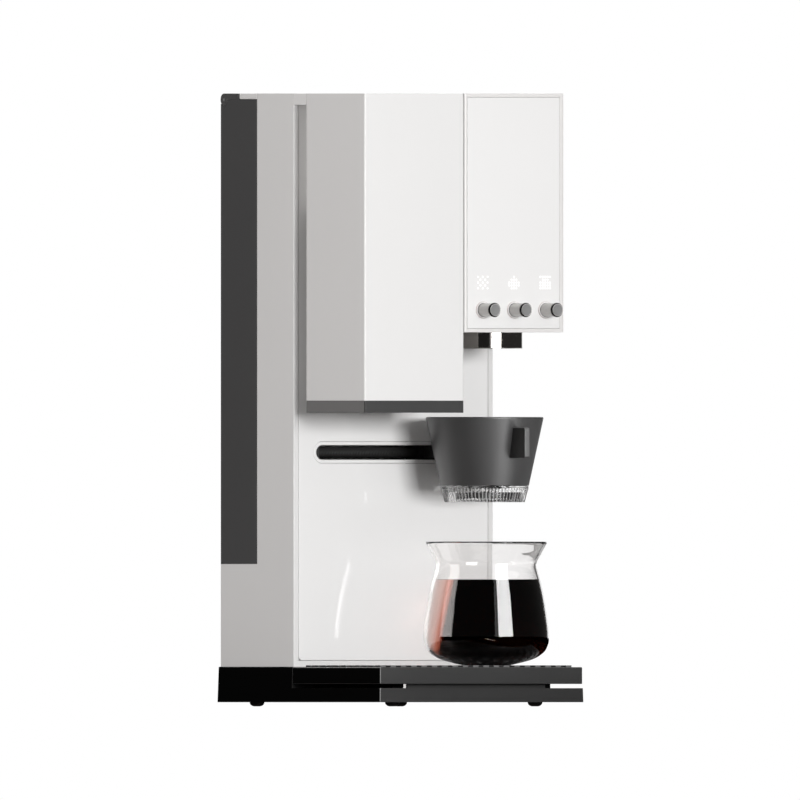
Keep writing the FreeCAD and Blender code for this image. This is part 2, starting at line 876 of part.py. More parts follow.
screw_y = panel_back + s.screw_axis_depth
rod_z = slot_axis + s.guide_rod_rise
bracket_in = slot_half - s.bracket_inset
bracket_out = bracket_in + s.bracket_thickness
journal = s.journal_dia / 2


def carriage_drive():
    """Lead screw seen through the slot, its guide rod, end brackets and small stepper motor."""
    rod_ends = both(bracket_out)
    node("guide_rod", rod("X", (screw_y, rod_z), rod_ends, s.guide_rod_dia / 2))
    deep = (panel_back, panel_back + s.bracket_depth)
    tall = (slot_axis - s.stepper_dia / 2, rod_z + s.guide_rod_dia)
    plates = []
    for inner, outer in ((-bracket_in, -bracket_out), (bracket_in, bracket_out)):
        low, high = sorted((inner, outer), key=float)
        plate = block((low, high), deep, tall)
        bore = rod("X", (screw_y, slot_axis), (low, high), journal + s.run_gap)
        seat = rod("X", (screw_y, rod_z), (low, high), s.guide_rod_dia / 2)
        plates.append(cut(plate, bore, seat))
    pair = doc.addObject("Part::Compound", "brackets")
    pair.Links = plates
    node("rail_brackets", pair)
    gap = s.part_gap
    thread = rod("X", (screw_y, slot_axis), (-bracket_in + gap, bracket_in - gap), s.lead_screw_dia / 2)
    motor_bore = s.stepper_length * 0.6
    ends = rod("X", (screw_y, slot_axis), (-bracket_out, bracket_out + motor_bore - gap), journal)
    node("carriage_screw", fuse(thread, ends))
    can = rod("X", (screw_y, slot_axis), (bracket_out, bracket_out + s.stepper_length), s.stepper_dia / 2)
    bore = rod("X", (screw_y, slot_axis), (bracket_out, bracket_out + motor_bore), journal + s.run_gap)
    ear = block((bracket_out, bracket_out + s.run_gap * 20), about(screw_y, s.stepper_dia * 0.5),
                about(slot_axis, s.stepper_dia * 1.4))
    node("carriage_motor", cut(fuse(can, ear), bore))


dock_front = column_front - s.dock_reach
dock_back = dock_front + s.dock_thickness
dock_axis = slot_axis - s.dock_drop
block_width = (bracket_in - brew_x - s.block_end_gap) * 2
arm_width = block_width - s.arm_shoulder * 2
block_front = panel_back + s.part_gap * 3
block_back = block_front + s.block_depth


def carriage():
    """Nut block on the screw and rod, and the arm that reaches through the slot to the dripper's dock."""
    nut = Piece("carriage_block")
    low = slot_axis - s.block_depth * 0.6
    high = rod_z + s.guide_rod_dia
    nut.pad("XY", (low, high), rectangle(about(brew_x, block_width), (block_front, block_back)))
    nut.chamfer(s.part_gap * 4, lambda edge: runs_along(edge, "X") and edge.CenterOfMass.y > float(screw_y))
    across = about(brew_x, block_width)
    nut.pocket("YZ", across, circle(screw_y, slot_axis, s.lead_screw_dia / 2 + s.run_gap))
    nut.pocket("YZ", across, circle(screw_y, rod_z, s.guide_rod_dia / 2 + s.run_gap))
    arm = Piece("dripper_arm")
    arm.pad("XZ", (dock_back, block_front), rectangle(about(brew_x, arm_width),
                                                      about(slot_axis, s.arm_thickness)))
    arm.pad("XZ", (dock_front, dock_back), rectangle(about(brew_x, s.dock_width),
                                                     about(dock_axis, s.dock_height)))
    arm.fillet(s.dock_thickness, lambda edge: runs_along(edge, "Y")
               and abs(abs(edge.CenterOfMass.x - float(brew_x)) - float(s.dock_width) / 2) < NEAR)
    seats = [circle(x, dock_axis, s.magnet_dia / 2) for x in about(brew_x, s.magnet_spread)]
    arm.pocket("XZ", (dock_front, dock_front + s.magnet_thickness), *seats)
    magnets = []
    for x in about(brew_x, s.magnet_spread):
        magnets.append(rod("Y", (x, dock_axis), (dock_front, dock_front + s.magnet_thickness),
                           s.magnet_dia / 2))
    pair = doc.addObject("Part::Compound", "magnets")
    pair.Links = magnets
    node("dock_magnets", pair)


rim = s.dripper_rim_height
sleeve_foot = rim - s.dripper_sleeve_height
skirt_foot = sleeve_foot - s.basket_skirt_height
cone_top = s.dripper_top_dia / 2
cone_foot = s.dripper_foot_dia / 2
cone_slope = (cone_top - cone_foot) / s.dripper_sleeve_height


def cone_at(height):
    """Outer radius of the dripper's cone at a height."""
    return cone_foot + cone_slope * (height - sleeve_foot)


def dripper_sleeve():
    """Dark cone with a thin finger tab in front and a flat docking pad behind."""
    wall = s.dripper_wall
    piece = Piece("dripper_sleeve")
    piece.place(brew_x, module_middle, 0)
    piece.turn([(0, sleeve_foot), (cone_foot, sleeve_foot), (cone_top, rim), (0, rim)])
    pad_back = dock_front - s.part_gap - module_middle
    piece.pad("XY", about(dock_axis, s.bracket_pad_height),
              rectangle(both(s.bracket_pad_width / 2), (cone_foot / 2, pad_back)))
    tab_top = rim - s.tab_drop
    tab_foot = tab_top - s.tab_height
    piece.pad("XY", (tab_foot, tab_top),
              rectangle(both(s.tab_thickness / 2), (-s.tab_reach, -cone_foot / 2)))
    reach = float(s.tab_reach)
    piece.fillet(s.tab_thickness / 2 - s.run_gap * 4,
                 lambda edge: runs_along(edge, "X") and abs(edge.CenterOfMass.y + reach) < NEAR)
    piece.fillet(s.tab_thickness / 5,
                 lambda edge: runs_along(edge, "Z") and abs(edge.CenterOfMass.y + reach) < 0.5)
    piece.turn([(0, sleeve_foot), (cone_foot - wall, sleeve_foot), (cone_top - wall, rim), (0, rim)],
               kind="Groove")


def basket_profile():
    """Closed radius and height outline of the clear basket, from its outlet round to its rim."""
    wall = s.basket_wall
    inset = s.dripper_wall + s.part_gap
    lip = rim - wall
    flange = sleeve_foot - wall
    floor = skirt_foot + s.outlet_height + s.part_gap
    skirt_out = s.basket_skirt_dia / 2 - s.basket_rib
    hole = s.outlet_dia / 6
    return [
        (hole, floor),
        (skirt_out - wall, floor),
        (skirt_out - wall, skirt_foot),
        (skirt_out, skirt_foot),
        (cone_foot - s.basket_rib, flange),
        (cone_foot, flange),
        (cone_foot, sleeve_foot),
        (cone_foot - inset, sleeve_foot),
        (cone_at(lip) - inset, lip),
        (cone_at(lip) - inset - wall, lip),
        (cone_foot - inset - wall, sleeve_foot + wall),
        (hole, floor + wall),
    ]


def clear_basket():
    """Clear filter basket: an inner cone, a flange under the sleeve and a ribbed skirt below it."""
    flange = sleeve_foot - s.basket_wall
    skirt_out = s.basket_skirt_dia / 2 - s.basket_rib
    piece = Piece("filter_basket")
    piece.place(brew_x, module_middle, 0)
    piece.turn(basket_profile())
    inner = skirt_out - s.basket_wall / 2
    rib = [(inner, skirt_foot), (skirt_out + s.basket_rib, skirt_foot), (cone_foot, flange), (inner, flange)]
    piece.pad("XZ", both(s.basket_rib / 2), rib)
    piece.spread_round(s.basket_ribs)


def drip_outlet():
    """Dark outlet cup under the basket's floor, with a ring of drip holes."""
    radius = s.outlet_dia / 2
    foot = skirt_foot + s.part_gap
    crown = skirt_foot + s.outlet_height
    piece = Piece("drip_outlet")
    piece.place(brew_x, module_middle, 0)
    wall = s.basket_wall
    piece.turn([(0, foot), (radius * 0.8, foot), (radius, foot + wall), (radius, crown),
                (radius - wall, crown), (radius * 0.75, foot + wall), (0, foot + wall)])
    piece.pocket("XY", (foot, foot + wall), circle(radius / 2, 0, wall))
    piece.spread_round(as_size(5))


lid_axis_y = column_back - s.lid_barrel_radius
lid_axis_z = top - s.lid_barrel_radius
ear_x = column_side - s.ear_side_inset
cap_back = tank_front + s.cap_depth
barrel = s.lid_barrel_radius


def water_tank():
    """Smoked water tank with rounded corners, a stepped rear edge for the lid and two hinge ears."""
    wall = s.tank_wall
    near = tank_front + s.part_gap
    piece = Piece("water_tank")
    piece.pad("XY", (tank_floor, tank_top), rectangle(both(column_side), (near, column_back)))
    piece.fillet(s.tank_corner, corner_posts(column_side, near, column_back))
    piece.pocket("XY", (tank_floor + wall, tank_top),
                 rectangle(both(column_side - wall), (near + wall, column_back - wall)))
    seat = barrel + s.part_gap
    notch_foot = lid_axis_z - barrel * 0.7
    piece.pocket("YZ", both(column_side), circle(lid_axis_y, lid_axis_z, seat))
    piece.pocket("YZ", both(column_side),
                 rectangle((lid_axis_y - seat, column_back), (lid_axis_z, tank_top)))
    piece.pocket("YZ", both(column_side), rectangle((lid_axis_y, column_back), (notch_foot, lid_axis_z)))
    for x in both(ear_x):
        wide = about(x, s.ear_thickness)
        stem = rectangle(about(lid_axis_y, s.lid_pin_dia * 3),
                         (lid_axis_z - barrel * 3, lid_axis_z))
        piece.pad("YZ", wide, stem)
        piece.pad("YZ", wide, circle(lid_axis_y, lid_axis_z, s.lid_pin_dia * 1.5))
        piece.pocket("YZ", wide, circle(lid_axis_y, lid_axis_z, s.lid_pin_dia / 2))
    stem_hole = s.valve_stem_dia / 2
    piece.pocket("XY", (tank_floor, tank_floor + wall), circle(-s.valve_side, tank_middle, stem_hole))


def tank_fittings():
    """Outlet valve of the tank, the socket it plugs into, the fixed cap, the lid and the lid's pin."""
    radius = s.valve_dia / 2
    stem = s.valve_stem_dia / 2
    seat = tank_floor + s.tank_wall
    foot = tank_floor - s.valve_drop
    throat = stem / 2
    valve = Piece("tank_valve")
    valve.place(-s.valve_side, tank_middle, 0)
    valve.turn([(throat, foot), (stem, foot), (radius, foot + s.socket_wall),
                (radius, tank_floor - s.part_gap), (stem, tank_floor - s.part_gap), (stem, seat),
                (radius, seat), (radius, seat + s.socket_wall), (throat, seat + s.socket_wall)])
    inside = radius + s.part_gap
    bottom = tank_floor - s.socket_depth
    bore = s.hose_bore / 2
    barb = s.nipple_dia / 2
    socket = Piece("tank_socket")
    socket.place(-s.valve_side, tank_middle, 0)
    socket.turn([(bore, bottom - s.nipple_length), (barb, bottom - s.nipple_length),
                 (barb, bottom - s.socket_wall), (socket_radius, bottom - s.socket_wall),
                 (socket_radius, tank_floor - s.part_gap), (inside, tank_floor - s.part_gap),
                 (inside, bottom), (bore, bottom)])
    cap = Piece("tank_cap")
    near = tank_front + s.part_gap
    cap.pad("XY", (tank_top, top), rectangle(both(column_side), (near, cap_back)))
    lip = s.tank_wall + s.part_gap
    cap.pad("XY", (tank_top - s.tank_wall, tank_top),
            rectangle(both(column_side - lip), (near + lip, near + lip + s.tank_wall)))
    cap.fillet(s.tank_corner, corner_posts(column_side, near))
    lid = Piece("tank_lid")
    lid_front = cap_back + s.part_gap
    lid.pad("XY", (tank_top, top), rectangle(both(column_side), (lid_front, lid_axis_y)))
    lid.pad("YZ", both(column_side), circle(lid_axis_y, lid_axis_z, barrel))
    lid.fillet(s.lid_thickness / 2, lambda edge: runs_along(edge, "X")
               and abs(edge.CenterOfMass.y - float(lid_front)) < NEAR
               and abs(edge.CenterOfMass.z - float(top)) < NEAR)
    around = barrel + s.part_gap
    for x in both(ear_x):
        lid.pocket("YZ", about(x, s.ear_thickness + s.part_gap * 2),
                   rectangle((lid_axis_y - around, column_back + s.part_gap),
                             (lid_axis_z - around, top + s.part_gap)))
    lid.pocket("YZ", both(column_side + s.part_gap),
               circle(lid_axis_y, lid_axis_z, s.lid_pin_dia / 2 + s.run_gap))
    node("tank_lid_pin", rod("X", (lid_axis_y, lid_axis_z), both(column_side), s.lid_pin_dia / 2))


pump_z = tank_floor - s.socket_depth - s.nipple_length - s.pump_dia / 2
pump_end = -s.valve_side + s.pump_length / 2
hose_z = pump_z
hose_x = brew_x
heater_y = tank_front - s.column_wall - s.part_gap - s.heater_depth / 2
heater_foot = top - s.heater_drop
heater_top = heater_foot + s.heater_height
hose_start = pump_end + s.nipple_length


def hose(label, points):
    """A hose with its bore, along straight runs joined by tangent arcs."""
    corners = [Vector(*[float(as_size(size)) for size in point]) for point in points]
    bend = float(s.hose_bend)
    edges = []
    at = corners[0]
    for before, corner, after in zip(corners, corners[1:], corners[2:]):
        into = (corner - before).normalize()
        out = (after - corner).normalize()
        start = corner - into * bend
        end = corner + out * bend
        middle = corner + (out - into) * (bend * (1 - math.sqrt(0.5)))
        edges.append(Part.LineSegment(at, start).toShape())
        edges.append(Part.Arc(start, middle, end).toShape())
        at = end
    edges.append(Part.LineSegment(at, corners[-1]).toShape())
    path = Part.Wire(edges)
    first = (corners[1] - corners[0]).normalize()
    walls = []
    for dia in (s.hose_dia, s.hose_bore):
        ring = Part.Wire([Part.Circle(corners[0], first, float(dia) / 2).toShape()])
        walls.append(path.makePipeShell([ring], True, False))
    tube = walls[0].cut(walls[1])
    expected = path.Length * math.pi * (float(s.hose_dia) ** 2 - float(s.hose_bore) ** 2) / 4
    if abs(tube.Volume - expected) > expected * 0.01:
        raise RuntimeError("%s has the wrong volume" % label)
    shaped(label, tube)


def water_path():
    """Pump, hoses and flow-through heater inside the column."""
    barb = s.nipple_dia / 2
    bore = s.hose_bore / 2
    x_span = about(-s.valve_side, s.pump_length)
    can = rod("X", (tank_middle, pump_z), x_span, s.pump_dia / 2)
    port = rod("Z", (-s.valve_side, tank_middle), (pump_z, pump_z + s.pump_dia / 2), barb)
    outlet = rod("X", (tank_middle, pump_z), (pump_end, hose_start), barb)
    foot = block(about(-s.valve_side, s.pump_length / 2), about(tank_middle, s.pump_dia * 0.7),
                 (pump_z - s.pump_dia / 2 - s.column_wall, pump_z))
    drill = rod("X", (tank_middle, pump_z), (pump_end - s.nipple_length, hose_start), bore)
    node("pump", cut(fuse(can, port, outlet, foot), drill))
    wide = about(brew_x, s.heater_width)
    deep = about(heater_y, s.heater_depth)
    low = heater_foot
    body = block(wide, deep, (low, heater_top))
    inlet = rod("Z", (hose_x, heater_y), (low - s.nipple_length, low), barb)
    exit = rod("Z", (hose_x, heater_y), (heater_top, heater_top + s.nipple_length), barb)
    tube = rod("Z", (hose_x, heater_y), (low - s.nipple_length, heater_top + s.nipple_length), bore)
    element = s.heater_tube_dia / 2
    grooves = []
    for way in (-1, 1):
        x = brew_x + s.heater_width * (way * 0.32)
        grooves.append(rod("Z", (x, heater_y - s.heater_depth / 2), (low, heater_top), element))
    node("heater", cut(fuse(body, inlet, exit), tube, *grooves))
    hose("supply_hose", [(hose_start, tank_middle, pump_z), (hose_x, tank_middle, pump_z),
                         (hose_x, heater_y, pump_z), (hose_x, heater_y, low - s.nipple_length)])
    crest = neck_axis + s.brew_hose_rise
    hose("brew_hose", [(hose_x, heater_y, heater_top + s.nipple_length), (hose_x, heater_y, crest),
                       (brew_x, module_middle, crest),
                       (brew_x, module_middle, head_foot + s.nipple_length)])


def power_parts():
    """Power supply board with its transformer and capacitors, and the appliance inlet in the rear wall."""
    foot = base_top + s.panel_foot_margin + s.panel_ledge
    x_span = about(inlet_x, s.supply_width)
    y_span = about(tank_middle - s.column_wall * 2, s.supply_depth)
    board_top = foot + s.board_thickness
    board = block(x_span, y_span, (foot, board_top))
    coil = block(about(inlet_x - s.supply_width / 4, s.supply_width / 3),
                 about(tank_middle - s.column_wall * 2, s.supply_depth * 0.6),
                 (board_top, board_top + s.pump_dia / 3))
    tall = board_top + s.pump_dia / 3
    cans = [rod("Z", (inlet_x + s.supply_width / 4, tank_middle - s.column_wall * 2 + y),
                (board_top, tall), s.boss_dia / 2) for y in both(s.supply_depth / 4)]
    node("power_supply", fuse(board, coil, *cans))
    wall = s.column_wall
    inlet = Piece("power_inlet")
    wide = about(inlet_x, s.inlet_width)
    high = about(s.inlet_axis_height, s.inlet_height)
    inlet.pad("XZ", (column_back - s.inlet_depth, column_back), rectangle(wide, high))
    inlet.fillet(wall, lambda edge: runs_along(edge, "Y"))
    inlet.pocket("XZ", (column_back - s.inlet_depth + wall, column_back),
                 rectangle(about(inlet_x, s.inlet_width - wall * 1.6),
                           about(s.inlet_axis_height, s.inlet_height - wall * 1.6)))
    pins = []
    for x, z in ((-1, 0), (1, 0), (0, 1)):
        pins.append(rectangle(about(inlet_x + s.inlet_width * (x * 0.26), wall * 0.7),
                              about(s.inlet_axis_height + s.inlet_height * (z * 0.14), wall * 1.5)))
    inlet.pad("XZ", (column_back - s.inlet_depth + wall, column_back - wall * 2), *pins)


def module_bridge():
    """Bright top plate and two hollow necks that carry the modules in front of the column."""
    span = (module_back, column_front)
    piece = Piece("module_bridge")
    necks = [rectangle(about(x, s.neck_width), (neck_top - s.neck_height, bridge_foot))
             for x in (grind_x, brew_x)]
    piece.pad("XZ", span, rectangle(both(column_side), (bridge_foot, top)))
    piece.pad("XZ", span, *necks)
    windows = [rectangle(about(x, window_width), about(neck_axis, window_height))
               for x in (grind_x, brew_x)]
    piece.pocket("XZ", span, *windows)


module_in = s.module_seam / 2
lid_middle = module_back - s.bean_lid_inset - s.bean_lid_depth / 2
lid_rear = module_back - s.bean_lid_inset
lid_front = lid_rear - s.bean_lid_depth
lid_under = top - s.lid_plate
bean_pin_z = top - s.lid_plate / 2
bean_pin_y = lid_rear - s.lid_plate / 2


def grinder_housing():
    """Left module: a folded metal shell, open below, with an opening for the bean lid on top."""
    wall = s.module_wall
    x_span = (-column_side, -module_in)
    piece = Piece("grinder_housing")
    piece.pad("XY", (grinder_foot, top), rectangle(x_span, (module_front, module_back)))
    piece.fillet(s.module_corner, lambda edge: runs_along(edge, "Z"))
    piece.pocket("XY", (grinder_foot, lid_under),
                 rectangle((-column_side + wall, -module_in - wall), (module_front + wall, module_back - wall)))
    gap = s.part_gap
    piece.pocket("XY", (lid_under, top),
                 rectangle(about(grind_x, s.bean_lid_width + gap * 2), (lid_front - gap, lid_rear + gap)))
    hole = s.bean_lid_pin_dia / 2 + s.run_gap
    piece.pocket("YZ", about(grind_x, s.bean_lid_width + s.hopper_flange * 2),
                 circle(bean_pin_y, bean_pin_z, hole))
    piece.pocket("XZ", (module_back - wall, module_back),
                 rectangle(about(grind_x, window_width), about(neck_axis, window_height)))


def grinder_trim():
    """Dark lower cap of the grinder module with the outlet for the grounds."""
    x_span = (-column_side, -module_in)
    wall = s.module_wall + s.part_gap
    foot = grinder_foot - s.trim_height
    piece = Piece("grinder_trim")
    piece.pad("XY", (foot, grinder_foot), rectangle(x_span, (module_front, module_back)))
    piece.fillet(s.module_corner, lambda edge: runs_along(edge, "Z"))
    piece.pad("XY", (grinder_foot, grinder_foot + s.module_wall),
              rectangle((-column_side + wall, -module_in - wall), (module_front + wall, module_back - wall)))
    piece.pocket("XY", (foot, grinder_foot + s.module_wall),
                 circle(grind_x, module_middle, s.trim_hole_dia / 2))
    piece.chamfer(s.module_corner, lambda edge: abs(edge.CenterOfMass.z - float(foot)) < NEAR
                  and isinstance(edge.Curve, Part.Circle)
                  and edge.Curve.Radius > float(s.trim_hole_dia) / 2 - NEAR)


def hopper_lid():
    """Flush bean lid with a rounded hinge edge, stub pins and a finger dip."""
    x_span = about(grind_x, s.bean_lid_width)
    piece = Piece("hopper_lid")
    piece.pad("XY", (lid_under, top), rectangle(x_span, (lid_front, bean_pin_y)))
    piece.pad("YZ", x_span, circle(bean_pin_y, bean_pin_z, s.lid_plate / 2))
    piece.pad("YZ", about(grind_x, s.bean_lid_width + s.hopper_flange * 2 - s.part_gap * 2),
              circle(bean_pin_y, bean_pin_z, s.bean_lid_pin_dia / 2))
    piece.pocket("XY", (top - s.lid_plate / 3, top),
                 rectangle(about(grind_x, s.bean_lid_width / 3), (lid_front, lid_front + s.hopper_flange)))


chamber_foot = s.chamber_foot_height
chamber_top = chamber_foot + s.chamber_height
hopper_floor = chamber_top + s.part_gap


def bean_hopper():
    """Funnel for the beans: a square flange under the lid and a cone down to the burrs."""
    wall = s.hopper_wall
    throat = s.hopper_throat_dia / 2
    mouth = s.hopper_top_dia / 2
    crown = lid_under
    piece = Piece("bean_hopper")
    piece.place(grind_x, lid_middle, 0)
    flange = s.hopper_flange - s.part_gap
    piece.pad("XY", (crown - wall, crown), rectangle(both(s.bean_lid_width / 2 + flange),
                                                     both(s.bean_lid_depth / 2 + flange)))
    piece.turn([(0, hopper_floor), (throat, hopper_floor), (mouth + wall, crown - wall * 4),
                (mouth + wall, crown), (0, crown)])
    piece.turn([(0, hopper_floor), (throat - wall, hopper_floor), (mouth, crown - wall * 4),
                (mouth, crown), (0, crown)], kind="Groove")


inner_chamber = s.chamber_dia / 2 - s.chamber_wall
shaft = s.burr_shaft_dia / 2
gear_top = chamber_foot - s.part_gap * 4
gear_foot = gear_top - s.gear_thickness
carrier_foot = chamber_foot + s.chamber_wall + s.part_gap * 2
carrier_top = carrier_foot + s.carrier_thickness
lower_top = carrier_top + s.lower_burr_height
upper_foot = lower_top + s.burr_gap
upper_top = upper_foot + s.upper_burr_height
bush = shaft + s.part_gap * 10
outlet_y = -(inner_chamber - s.chute_channel / 2)


def grinder_works():
    """Burr chamber, burrs and shaft, all round the grinder's upright axis."""
    wall = s.chamber_wall
    outer = s.chamber_dia / 2
    chamber = Piece("burr_chamber")
    chamber.place(grind_x, module_middle, 0)
    chamber.turn([(shaft + s.run_gap, chamber_foot), (outer, chamber_foot), (outer, chamber_top),
                  (inner_chamber, chamber_top), (inner_chamber, chamber_foot + wall),
                  (shaft + s.run_gap, chamber_foot + wall)])
    chute_half = s.chute_width / 2 - s.chute_wall
    chamber.pocket("XY", (chamber_foot, chamber_foot + wall),
                   rectangle(both(chute_half), about(outlet_y, s.chute_channel)))
    upper = Piece("upper_burr")
    upper.place(grind_x, module_middle, 0)
    ring = inner_chamber - s.part_gap
    throat = s.hopper_throat_dia / 2
    upper.turn([(throat + s.burr_gap * 3, upper_foot), (ring, upper_foot), (ring, upper_top),
                (throat, upper_top)])
    groove = [(throat, -s.burr_groove / 2), (ring, s.burr_groove), (ring, s.burr_groove * 2),
              (throat, s.burr_groove / 2)]
    upper.pocket("XY", (upper_foot, upper_foot + s.burr_groove), groove)
    upper.spread_round(s.burr_teeth)
    lower = Piece("lower_burr")
    lower.place(grind_x, module_middle, 0)
    disc = s.lower_burr_dia / 2
    lower.turn([(shaft, carrier_top), (disc, carrier_top), (disc, lower_top - s.burr_gap),
                (disc * 0.55, lower_top), (shaft * 1.5, lower_top), (shaft, lower_top - s.burr_gap)])
    groove = [(shaft * 2, -s.burr_groove / 2), (disc + 1, s.burr_groove), (disc + 1, s.burr_groove * 2),
              (shaft * 2, s.burr_groove / 2)]
    lower.pocket("XY", (lower_top - s.burr_groove, lower_top), groove)
    lower.spread_round(s.burr_teeth)
    spindle = Piece("burr_shaft")
    spindle.place(grind_x, module_middle, 0)
    spindle.turn([(0, gear_foot), (shaft, gear_foot), (shaft, carrier_foot),
                  (disc - wall, carrier_foot), (disc - wall, carrier_top), (shaft, carrier_top),
                  (shaft, lower_top), (0, lower_top)])
    paddle = rectangle((disc - wall * 2, inner_chamber - s.part_gap * 2), both(wall / 2))
    spindle.pad("XY", (carrier_foot, carrier_top - s.part_gap * 4), paddle)
    spindle.spread_round(as_size(4))


def gear_face(teeth, turned):
    """Outline of a spur gear with involute flanks, one tooth centred at the given angle."""
    pitch = float(s.gear_module) * teeth / 2
    pressure = math.radians(20)
    inner = pitch * math.cos(pressure)
    tip = pitch + float(s.gear_module) * 0.95
    root = pitch - float(s.gear_module) * 1.25
    half = math.pi / (2 * teeth) - float(s.gear_backlash) / (2 * pitch)
    start = max(inner, root)
    radii = [start + (tip - start) * share for share in (0, 0.3, 0.65, 1)]

    def flank(radius):
        lean = math.acos(min(1, inner / radius))
        return half + math.tan(pressure) - pressure - (math.tan(lean) - lean)

    corners = []
    for tooth in range(teeth):
        middle = turned + 2 * math.pi * tooth / teeth
        side = [(root, flank(start))] + [(radius, flank(radius)) for radius in radii]
        for radius, angle in side:
            corners.append((radius, middle - angle))
        for radius, angle in reversed(side):
            corners.append((radius, middle + angle))
    points = [Vector(radius * math.cos(angle), radius * math.sin(angle), 0) for radius, angle in corners]
    return Part.Face(Part.makePolygon(points + points[:1]))


teeth_big = int(s.gear_teeth.value)
teeth_small = int(s.pinion_teeth.value)
gear_distance = s.gear_module * (teeth_big + teeth_small) / 2
motor_y = module_middle + gear_distance
motor_top = gear_foot - s.part_gap * 4


def grinder_drive():
    """Spur gear on the burr shaft, the pinion that turns it and the motor behind the chute."""
    height = float(s.gear_thickness)
    up = Vector(0, 0, height)
    towards_motor = math.pi / 2
    big = gear_face(teeth_big, towards_motor).extrude(up)
    big.translate(Vector(float(grind_x), float(module_middle), float(gear_foot)))
    big = big.cut(solid_rod((grind_x, module_middle), (gear_foot, gear_top), shaft))
    shaped("drive_gear", big)
    gap_at_mesh = -towards_motor + math.pi / teeth_small
    small = gear_face(teeth_small, gap_at_mesh).extrude(up)
    small.translate(Vector(float(grind_x), float(motor_y), float(gear_foot)))
    stub = solid_rod((grind_x, motor_y), (motor_top - s.nipple_length, gear_foot), s.motor_shaft_dia / 2)
    shaped("motor_pinion", small.fuse(stub))
    radius = s.grinder_motor_dia / 2
    foot = motor_top - s.grinder_motor_length
    can = rod("Z", (grind_x, motor_y), (foot, motor_top), radius)
    bore = rod("Z", (grind_x, motor_y), (motor_top - s.nipple_length * 1.2, motor_top),
               s.motor_shaft_dia / 2 + s.run_gap)
    cap = rod("Z", (grind_x, motor_y), (foot - s.chamber_wall, foot), radius / 2)
    node("grinder_motor", cut(fuse(can, cap), bore))


def grounds_chute():
    """Bent channel that leads the grounds from the chamber's outlet down to the middle of the trim."""
    wall = s.chute_wall
    crown = chamber_foot
    outlet = module_middle + outlet_y
    upper = about(outlet, s.chute_channel)
    lower = about(module_middle - s.chute_wall * 2, s.chute_channel)
    bend = motor_top - s.grinder_motor_length - s.chamber_wall
    foot = grinder_foot + s.module_wall + s.part_gap
    outer = [(upper[0] - wall, crown), (upper[0] - wall, bend), (lower[0] - wall, foot),
             (lower[1] + wall, foot), (upper[1] + wall, bend), (upper[1] + wall, crown)]
    inner = [(upper[0], crown), (upper[0], bend), (lower[0], foot),
             (lower[1], foot), (upper[1], bend), (upper[1], crown)]
    piece = Piece("grounds_chute")
    piece.pad("YZ", about(grind_x, s.chute_width), outer)
    piece.pocket("YZ", about(grind_x, s.chute_width - wall * 2), inner)


knob_pitch = (column_side - s.first_knob_inset - s.last_knob_inset) / 2
knob_x = [s.first_knob_inset + knob_pitch * number for number in range(3)]
knob_z = s.knob_axis_height
knob_names = ("left", "centre", "right")
display_low = head_foot + s.head_border
display_high = top - s.head_border
display_span = (s.head_border, column_side - s.head_right_border)
display_back = module_front + s.display_thickness
board_front = display_back + s.board_setback
board_back = board_front + s.board_thickness


def head_housing():
    """Right module: a metal shell with a thin raised border round its front and an opening for the nozzle."""
    wall = s.module_wall
    x_span = (module_in, column_side)
    piece = Piece("head_housing")
    piece.pad("XY", (head_foot, top), rectangle(x_span, (module_front, module_back)))
    piece.fillet(s.module_corner, lambda edge: runs_along(edge, "Z"))
    piece.pocket("XZ", (module_front, display_back),
                 rectangle(display_span, (display_low, display_high)))
    ledge = s.panel_ledge
    fold = display_back + wall
    piece.pocket("XZ", (display_back, fold),
                 rectangle((display_span[0] + ledge, display_span[1] - ledge),
                           (display_low + ledge, display_high - ledge)))
    piece.pocket("XZ", (fold, module_back - wall),
                 rectangle((module_in + wall, column_side - wall), (head_foot + wall, top - wall)))
    piece.pocket("XY", (head_foot, head_foot + wall), circle(brew_x, module_middle, s.nozzle_stem_dia / 2))
    piece.pocket("XZ", (module_back - wall, module_back),
                 rectangle(about(brew_x, window_width), about(neck_axis, window_height)))


def display_panel():
    """Gloss front plate of the brew head with a hole for each knob."""
    gap = s.part_gap / 2
    piece = Piece("display_panel")
    span = (module_front, display_back)
    piece.pad("XZ", span, rectangle((display_span[0] + gap, display_span[1] - gap),
                                    (display_low + gap, display_high - gap)))
    hole = s.knob_dia / 2 + s.part_gap
    piece.pocket("XZ", span, *[circle(x, knob_z, hole) for x in knob_x])


def control_board():
    """Circuit board behind the display with a rotary encoder for each knob and a lamp block over each."""
    gap = s.part_gap
    board = block((display_span[0] + s.head_border, display_span[1] - s.head_border),
                  (board_front, board_back),
                  (knob_z - s.encoder_size / 2 - gap, knob_z + knob_pitch * 1.5))
    parts = [board]
    holes = []
    shallow = board_front - s.encoder_depth + s.run_gap * 4
    for x in knob_x:
        parts.append(block(about(x, s.encoder_size), (shallow, board_front), about(knob_z, s.encoder_size)))
        lamps = knob_z + knob_pitch * 0.73
        parts.append(block(about(x, s.encoder_size), (shallow, board_front), about(lamps, s.encoder_size)))
        holes.append(rod("Y", (x, knob_z), (shallow, board_back), s.spindle_dia / 2 + s.run_gap))
    node("control_board", cut(fuse(*parts), *holes))


def knob_collars():
    """Three thin rings on the display plate, one round each knob."""
    rings = []
    for x in knob_x:
        span = (module_front - s.collar_height, module_front)
        outer = rod("Y", (x, knob_z), span, s.collar_dia / 2)
        inner = rod("Y", (x, knob_z), span, s.knob_dia / 2 + s.part_gap)
        rings.append(cut(outer, inner))
    group = doc.addObject("Part::Compound", "collars")
    group.Links = rings
    node("knob_collars", group)


